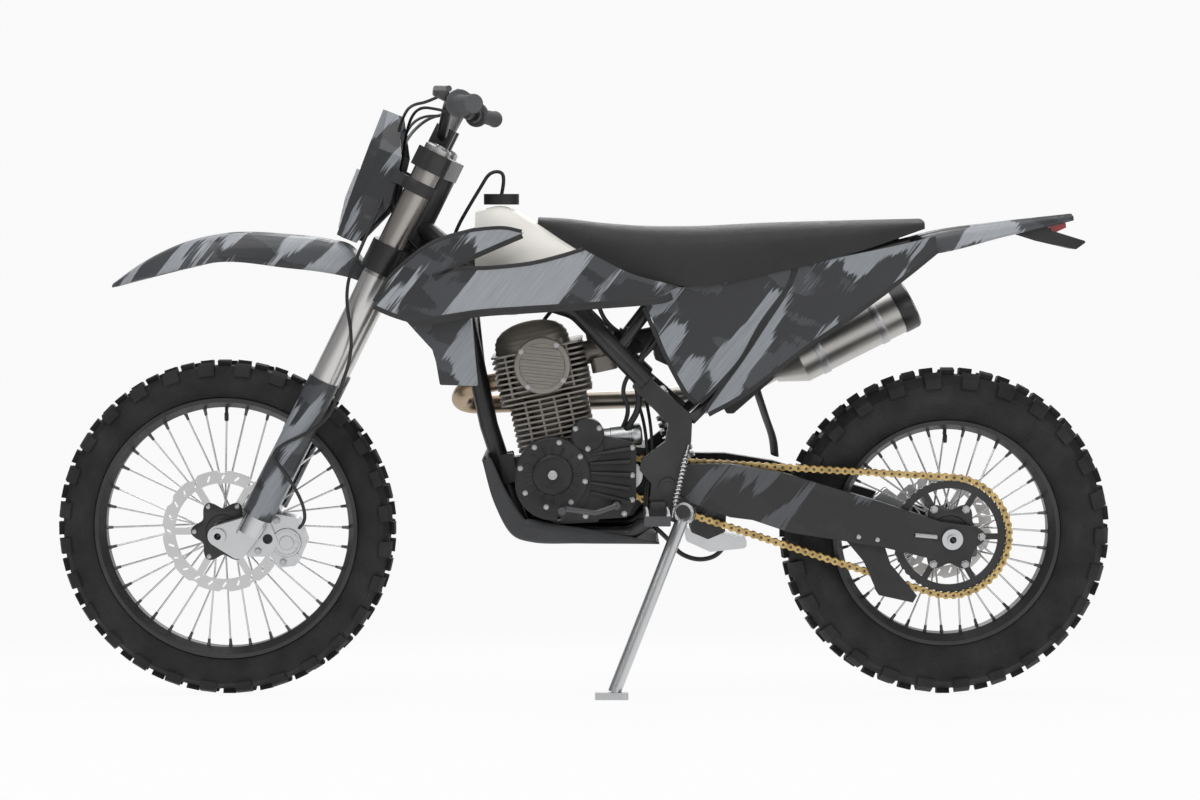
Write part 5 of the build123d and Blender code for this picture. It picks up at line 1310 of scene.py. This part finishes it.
def rounded_block(centre, axes, half):
    """A superellipsoid: a sphere's cosines and sines taken to a low power, scaled along three axes."""
    low = np.linspace(-pi / 2, pi / 2, 16)
    turn = np.linspace(0.0, 2 * pi, 32, endpoint=False)
    ring = np.abs(np.cos(low[:, None])) ** BLOCK_POWER
    x = ring * signed_power(np.cos(turn), BLOCK_POWER)
    y = ring * signed_power(np.sin(turn), BLOCK_POWER)
    z = np.broadcast_to(signed_power(np.sin(low), BLOCK_POWER)[:, None], x.shape)
    local = np.stack([x, y, z], axis=-1) * np.asarray(half, dtype=float)
    return np.asarray(centre) + local @ np.asarray(axes)


# Side, distance from the bar's end, offset from the bar, half sizes
BLOCKS = {
    "switch_block": (1.0, 172.0, (0, 0, 2), (16, 19, 18)),
    "stop_block": (-1.0, 182.0, (0, 0, 2), (13, 17, 16)),
    "reservoir": (-1.0, 150.0, (26, 0, 20), (22, 20, 13)),
    "reservoir_lid": (-1.0, 150.0, (26, 0, 33), (24, 22, 3.2)),
    "clutch_adjuster": (1.0, 150.0, (30, -14, 6), (8, 16, 8)),
}


class ENDURO_OT_switches(Operator):
    """Make the switch blocks and the brake reservoir on the bar"""

    bl_idname = "enduro.switches"
    bl_label = "Switches"

    def execute(self, context):
        """Superellipsoid blocks set square to the bar's outer run."""
        for name, (side, distance, offset, half) in BLOCKS.items():
            flip = np.array([1.0, side, 1.0])
            spot = (BAR_END - BAR_RUN * distance + np.array(offset)) * flip
            along = BAR_RUN * flip
            across = np.cross(along, UP)
            across /= np.linalg.norm(across)
            axes = np.stack([across, along, np.cross(across, along)])
            closed(name, steered(rounded_block(spot, axes, half)), "steering", "black_plastic", SOFT_CREASE)
        return {"FINISHED"}


# x and half width in plan, then the inward lean
SKINS = {
    "shroud": ([(440.0, 202.0), (120.0, 176.0), (-230.0, 142.0)], 0.06),
    "panel": ([(-100.0, 116.0), (-420.0, 132.0), (-730.0, 106.0)], 0.04),
}
SKIN_LEVEL = 500.0


def skin_height(panel, x, z):
    """Half width of a bowed panel: a parabola in plan, less the inward lean above a level."""
    plan, lean = SKINS[panel]
    curve = np.polyfit(*np.array(plan).T, 2)
    return np.polyval(curve, x) - lean * (z - SKIN_LEVEL)


# Panel, width of the border, x and z along the edge
EDGES = {
    "shroud_lower": ("shroud", 15.0, [
        (-170, 839), (-138, 830), (1, 820), (120, 813), (209, 807), (290, 795), (337, 788),
    ]),
    "shroud_nose": ("shroud", 9.0, [(337, 788), (377, 801), (414, 817)]),
    "shroud_top": ("shroud", 7.0, [(412, 822), (376, 875), (307, 931), (237, 956), (168, 964), (126, 957)]),
    "shroud_spear": ("shroud", 10.0, [(126, 956), (208, 921), (257, 898), (300, 872)]),
    "shroud_notch": ("shroud", 8.0, [(300, 870), (250, 883), (188, 885), (110, 893), (50, 907), (4, 921)]),
    "panel_front_rear": ("panel", 8.0, [
        (-412, 890), (-398, 850), (-348, 780), (-309, 710), (-262, 655), (-226, 620),
    ]),
    "panel_front_fore": ("panel", 9.0, [(-224, 620), (-200, 646), (-160, 721), (-121, 810)]),
    "panel_rear_low": ("panel", 9.0, [
        (-702, 924), (-635, 871), (-540, 801), (-438, 731), (-319, 641), (-244, 598),
    ]),
    "panel_rear_fore": ("panel", 8.0, [
        (-242, 600), (-276, 648), (-318, 706), (-366, 780), (-410, 850), (-425, 890),
    ]),
}
# Across a border: share of its width, lift off the skin
BORDER = np.array([(0.0, -1.5), (0.0, 0.4), (0.12, 1.3), (0.88, 1.3), (1.0, 0.4), (1.0, -1.5)])


def square_to(path):
    """The direction to the right of a flat path, at each of its points."""
    along = np.gradient(path, axis=0)
    along /= np.linalg.norm(along, axis=1, keepdims=True)
    return np.stack([along[:, 1], -along[:, 0]], axis=1)


class ENDURO_OT_edges(Operator):
    """Make the black borders of shrouds and side panels"""

    bl_idname = "enduro.edges"
    bl_label = "Panel borders"

    def execute(self, context):
        """A low band that follows each edge on the panel's skin, its columns stepped square to the edge."""
        step, lift = BORDER.T
        for name, (panel, width, points) in EDGES.items():
            knots = np.linspace(0.0, 1.0, len(points))[:, None]
            path = through(np.hstack([knots, np.array(points, dtype=float)]), np.linspace(0.0, 1.0, 60))
            flat = path[:, None, :] + width * step[None, :, None] * square_to(path)[:, None, :]
            y = skin_height(panel, flat[..., 0], flat[..., 1]) + lift[None]
            for side, label in SIDES:
                grid = np.stack([flat[..., 0], side * y, flat[..., 1]], axis=-1)
                closed(f"{name}_{label}", grid, "chassis", "black_plastic", 70.0)
        return {"FINISHED"}


# Share of the way back, x, z, height of the side wall
SKID = [
    (0.0, 210.0, 499.0, 20.0),
    (0.2, 184.0, 407.0, 36.0),
    (0.36, 150.0, 346.0, 44.0),
    (0.5, 108.0, 330.0, 48.0),
    (0.7, 10.0, 327.6, 34.0),
    (0.88, -90.0, 327.6, 16.0),
    (1.0, -149.0, 327.6, 5.0),
]
SKID_HALF = 102.6
# Shares of the half width and of the wall's height, from the left edge to the middle
SKID_SECTION = [
    (1.0, 1.0), (1.0, 0.6), (1.0, 0.3), (0.985, 0.14), (0.94, 0.04), (0.86, 0.0), (0.4, 0.0), (0.0, 0.0),
]


class ENDURO_OT_skid(Operator):
    """Make the moulded skid plate"""

    bl_idname = "enduro.skid"
    bl_label = "Skid plate"

    def execute(self, context):
        """A U section carried along the plate's side curve: walls of changing height, rounded corners."""
        x, z, wall = through(SKID, np.linspace(0.0, 1.0, 70)).T
        inward = square_to(np.stack([x, z], axis=1))
        section = np.array(SKID_SECTION)
        section = np.vstack([section, section[-2::-1] * np.array([-1.0, 1.0])])
        rise = wall[:, None] * section[None, :, 1]
        y = np.broadcast_to(SKID_HALF * section[:, 0], rise.shape)
        grid = np.stack([x[:, None] + inward[:, :1] * rise, y, z[:, None] + inward[:, 1:] * rise], axis=-1)
        settle(shell("skid_shell", grid, sizes().fender_skin), "chassis", "grey_plastic", ("skid_plate",))
        return {"FINISHED"}


CHAIN_PITCH = 15.875
CHAIN_Y = 72.0
PIN_Y = 7.9
REAR_PITCH_R = CHAIN_PITCH / 2 / sin(pi / 48)
DRIVE_PITCH_R = CHAIN_PITCH / 2 / sin(pi / 14)
DRIVE_CENTRE = np.array([-85.0, 465.0])
REAR_CENTRE = REAR_AXLE[[0, 2]]


def unit(angle):
    """Points of the unit circle in the side plane."""
    return np.stack([np.cos(angle), np.sin(angle)], axis=-1)


def chain_points(count):
    """Places evenly along the chain: two straight runs tangent to both sprockets, and an arc round each."""
    gap = DRIVE_CENTRE - REAR_CENTRE
    step = REAR_PITCH_R - DRIVE_PITCH_R
    distance = np.hypot(*gap)
    slope = np.arctan2(gap[1], gap[0])
    spread = np.arccos(step / distance)
    straight = np.sqrt(distance**2 - step**2)
    front_arc = DRIVE_PITCH_R * 2 * spread
    rear_arc = REAR_PITCH_R * (2 * pi - 2 * spread)
    total = 2 * straight + front_arc + rear_arc
    s = np.arange(count) / count * total
    upper = unit(slope + spread)
    lower = unit(slope - spread)
    along_upper = REAR_CENTRE + REAR_PITCH_R * upper + s[:, None] / straight * (gap - step * upper)
    round_front = DRIVE_CENTRE + DRIVE_PITCH_R * unit(slope + spread - (s - straight) / DRIVE_PITCH_R)
    back = (s - straight - front_arc)[:, None] / straight
    along_lower = DRIVE_CENTRE + DRIVE_PITCH_R * lower - back * (gap - step * lower)
    turn = slope - spread - (s - 2 * straight - front_arc) / REAR_PITCH_R
    round_rear = REAR_CENTRE + REAR_PITCH_R * unit(turn)
    marks = [s < straight, s < straight + front_arc, s < 2 * straight + front_arc]
    picked = np.select([mark[:, None] for mark in marks], [along_upper, round_front, along_lower], round_rear)
    return picked, total


class ENDURO_OT_chain(Operator):
    """Make the chain's pins"""

    bl_idname = "enduro.chain"
    bl_label = "Chain pins"

    def execute(self, context):
        total = chain_points(2)[1]
        count = 2 * round(total / CHAIN_PITCH / 2)
        x, z = chain_points(count)[0].T
        for side, label in SIDES:
            places = np.stack([x, np.full(count, CHAIN_Y + side * PIN_Y), z], axis=1)
            fixed("chain_pins_" + label, button(3.0, 1.5), places, side * LEFT, "chassis", "dark_steel")
        return {"FINISHED"}


FLOOR_SHARE = 0.55
BEND_SHARE = 0.2
FLOOR_END = 7.0
BEND_R = 2.0
WALL_RISE = 6.0
PAPER_GLOW = 0.93
WHITE = (1.0, 1.0, 1.0, 1.0)
LIT_WORLD = 0.26
SEEN_WORLD = 0.98
LAMP_AIM = np.array([0.0, -0.1, 0.6])
# Place, power, size
LAMPS = {
    "key_softbox": ((1.6, 3.4, 3.6), 70.0, 2.6),
    "fill_softbox": ((-2.6, 3.2, 2.0), 30.0, 2.4),
    "top_softbox": ((0.0, 0.2, 3.8), 50.0, 3.0),
    "back_softbox": ((0.0, -2.6, 2.6), 30.0, 2.0),
}
CAMERA_PLACE = (-0.033, 4.287, 0.251)
CAMERA_TILT = atan(172.0 / 2142.0)


def backdrop():
    """One sheet: a straight floor, a quarter circle, and a straight wall behind."""
    run = np.linspace(0.0, 1.0, 60)
    wall = FLOOR_SHARE + BEND_SHARE
    bend = np.clip((run - FLOOR_SHARE) / BEND_SHARE, 0.0, 1.0) * pi / 2
    on_floor = run < FLOOR_SHARE
    y = np.where(on_floor, FLOOR_END - run / FLOOR_SHARE * 2 * FLOOR_END, -FLOOR_END - BEND_R * np.sin(bend))
    z = np.where(on_floor, 0.0, BEND_R - BEND_R * np.cos(bend))
    z = z + np.clip((run - wall) / (1.0 - wall), 0.0, 1.0) * WALL_RISE
    x = np.linspace(-9.0, 9.0, 12)
    points = np.stack(np.broadcast_arrays(x[None, :], y[:, None], z[:, None]), axis=-1)
    return new_mesh("backdrop", points.reshape(-1, 3), grid_faces(60, 12, False), 180.0)


def studio_paper():
    """Matt paper that the camera and mirrors see nearly white, mixed by the kind of ray."""
    pale = tuple(sizes().floor_tone)
    make = Finish("studio_paper", pale, 0.85)
    make.set("Base Color", make.mixed(make.noise(3.0, 2.0), pale, tuple(0.985 * value for value in pale)))
    path = make.tree.nodes.new("ShaderNodeLightPath")
    seen = Wire(make.tree, path.outputs["Is Camera Ray"]) + Wire(make.tree, path.outputs["Is Glossy Ray"])
    white = make.node("ShaderNodeEmission")
    plain_paper = Wire(make.tree, make.shader.outputs[0])
    mix = make.node("ShaderNodeMixShader", None, {0: seen * PAPER_GLOW, 1: plain_paper, 2: white})
    make.tree.links.new(mix.socket, make.tree.nodes["Material Output"].inputs[0])
    return make.material


def studio_world():
    """A dim white world that the camera itself sees as bright."""
    world = bpy.data.worlds.new("studio")
    world.use_nodes = True
    tree = world.node_tree
    soft = tree.nodes["Background"]
    bright = tree.nodes.new("ShaderNodeBackground")
    for shade, strength in ((soft, LIT_WORLD), (bright, SEEN_WORLD)):
        shade.inputs["Color"].default_value = WHITE
        shade.inputs["Strength"].default_value = strength
    path = tree.nodes.new("ShaderNodeLightPath")
    either = tree.nodes.new("ShaderNodeMixShader")
    tree.links.new(path.outputs["Is Camera Ray"], either.inputs["Fac"])
    tree.links.new(soft.outputs["Background"], either.inputs[1])
    tree.links.new(bright.outputs["Background"], either.inputs[2])
    tree.links.new(either.outputs["Shader"], tree.nodes["World Output"].inputs["Surface"])
    return world


class ENDURO_OT_stage(Operator):
    """Set the floor, the backdrop, the lights and the camera"""

    bl_idname = "enduro.stage"
    bl_label = "Stage"

    def execute(self, context):
        """Each lamp's turn about x and z points its -Z axis at one aim."""
        scene = context.scene
        sheet = backdrop()
        sheet.data.materials.append(studio_paper())
        scene.world = studio_world()
        for name, (place, power, size) in LAMPS.items():
            light = bpy.data.lights.new(name, "AREA")
            light.energy = power
            light.size = size
            lamp = bpy.data.objects.new(name, light)
            lamp.location = place
            aim = LAMP_AIM - np.array(place)
            tilt = np.arctan2(np.hypot(aim[0], aim[1]), -aim[2])
            lamp.rotation_euler = (float(tilt), 0.0, float(np.arctan2(-aim[0], aim[1])))
            scene.collection.objects.link(lamp)
        lens = bpy.data.cameras.new("photo_view")
        lens.sensor_width = 36.0
        lens.lens = sizes().lens_mm
        camera = bpy.data.objects.new("photo_view", lens)
        camera.location = CAMERA_PLACE
        camera.rotation_euler = (pi / 2 + CAMERA_TILT, 0.0, pi)
        scene.collection.objects.link(camera)
        scene.camera = camera
        scene.view_settings.view_transform = "Standard"
        return {"FINISHED"}


OPERATORS = [
    ENDURO_OT_finishes,
    ENDURO_OT_seat,
    ENDURO_OT_tank,
    ENDURO_OT_grips,
    ENDURO_OT_fenders,
    ENDURO_OT_cables,
    ENDURO_OT_springs,
    ENDURO_OT_fasteners,
    ENDURO_OT_engine_trim,
    ENDURO_OT_trim,
    ENDURO_OT_head,
    ENDURO_OT_brakes,
    ENDURO_OT_nipples,
    ENDURO_OT_flap,
    ENDURO_OT_plumbing,
    ENDURO_OT_switches,
    ENDURO_OT_edges,
    ENDURO_OT_skid,
    ENDURO_OT_chain,
    ENDURO_OT_stage,
]


class ENDURO_PT_panel(Panel):
    """Lists the steps of the dressing"""

    bl_label = "Enduro"
    bl_idname = "ENDURO_PT_panel"
    bl_space_type = "VIEW_3D"
    bl_region_type = "UI"
    bl_category = "Enduro"

    def draw(self, context):
        for step in OPERATORS:
            self.layout.operator(step.bl_idname)
        for name in EnduroSizes.__annotations__:
            self.layout.prop(context.scene.enduro_sizes, name)


CLASSES = [EnduroSizes, *OPERATORS, ENDURO_PT_panel]


def register():
    for item in CLASSES:
        bpy.utils.register_class(item)
    bpy.types.Scene.enduro_sizes = PointerProperty(type=EnduroSizes)


def unregister():
    del bpy.types.Scene.enduro_sizes
    for item in reversed(CLASSES):
        bpy.utils.unregister_class(item)


def main():
    """Registers the classes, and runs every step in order."""
    register()
    bpy.ops.enduro.finishes()
    bpy.ops.enduro.seat()
    bpy.ops.enduro.tank()
    bpy.ops.enduro.grips()
    bpy.ops.enduro.fenders()
    bpy.ops.enduro.cables()
    bpy.ops.enduro.springs()
    bpy.ops.enduro.fasteners()
    bpy.ops.enduro.engine_trim()
    bpy.ops.enduro.trim()
    bpy.ops.enduro.head()
    bpy.ops.enduro.brakes()
    bpy.ops.enduro.nipples()
    bpy.ops.enduro.flap()
    bpy.ops.enduro.plumbing()
    bpy.ops.enduro.switches()
    bpy.ops.enduro.edges()
    bpy.ops.enduro.skid()
    bpy.ops.enduro.chain()
    bpy.ops.enduro.stage()


if __name__ == "__main__":
    main()
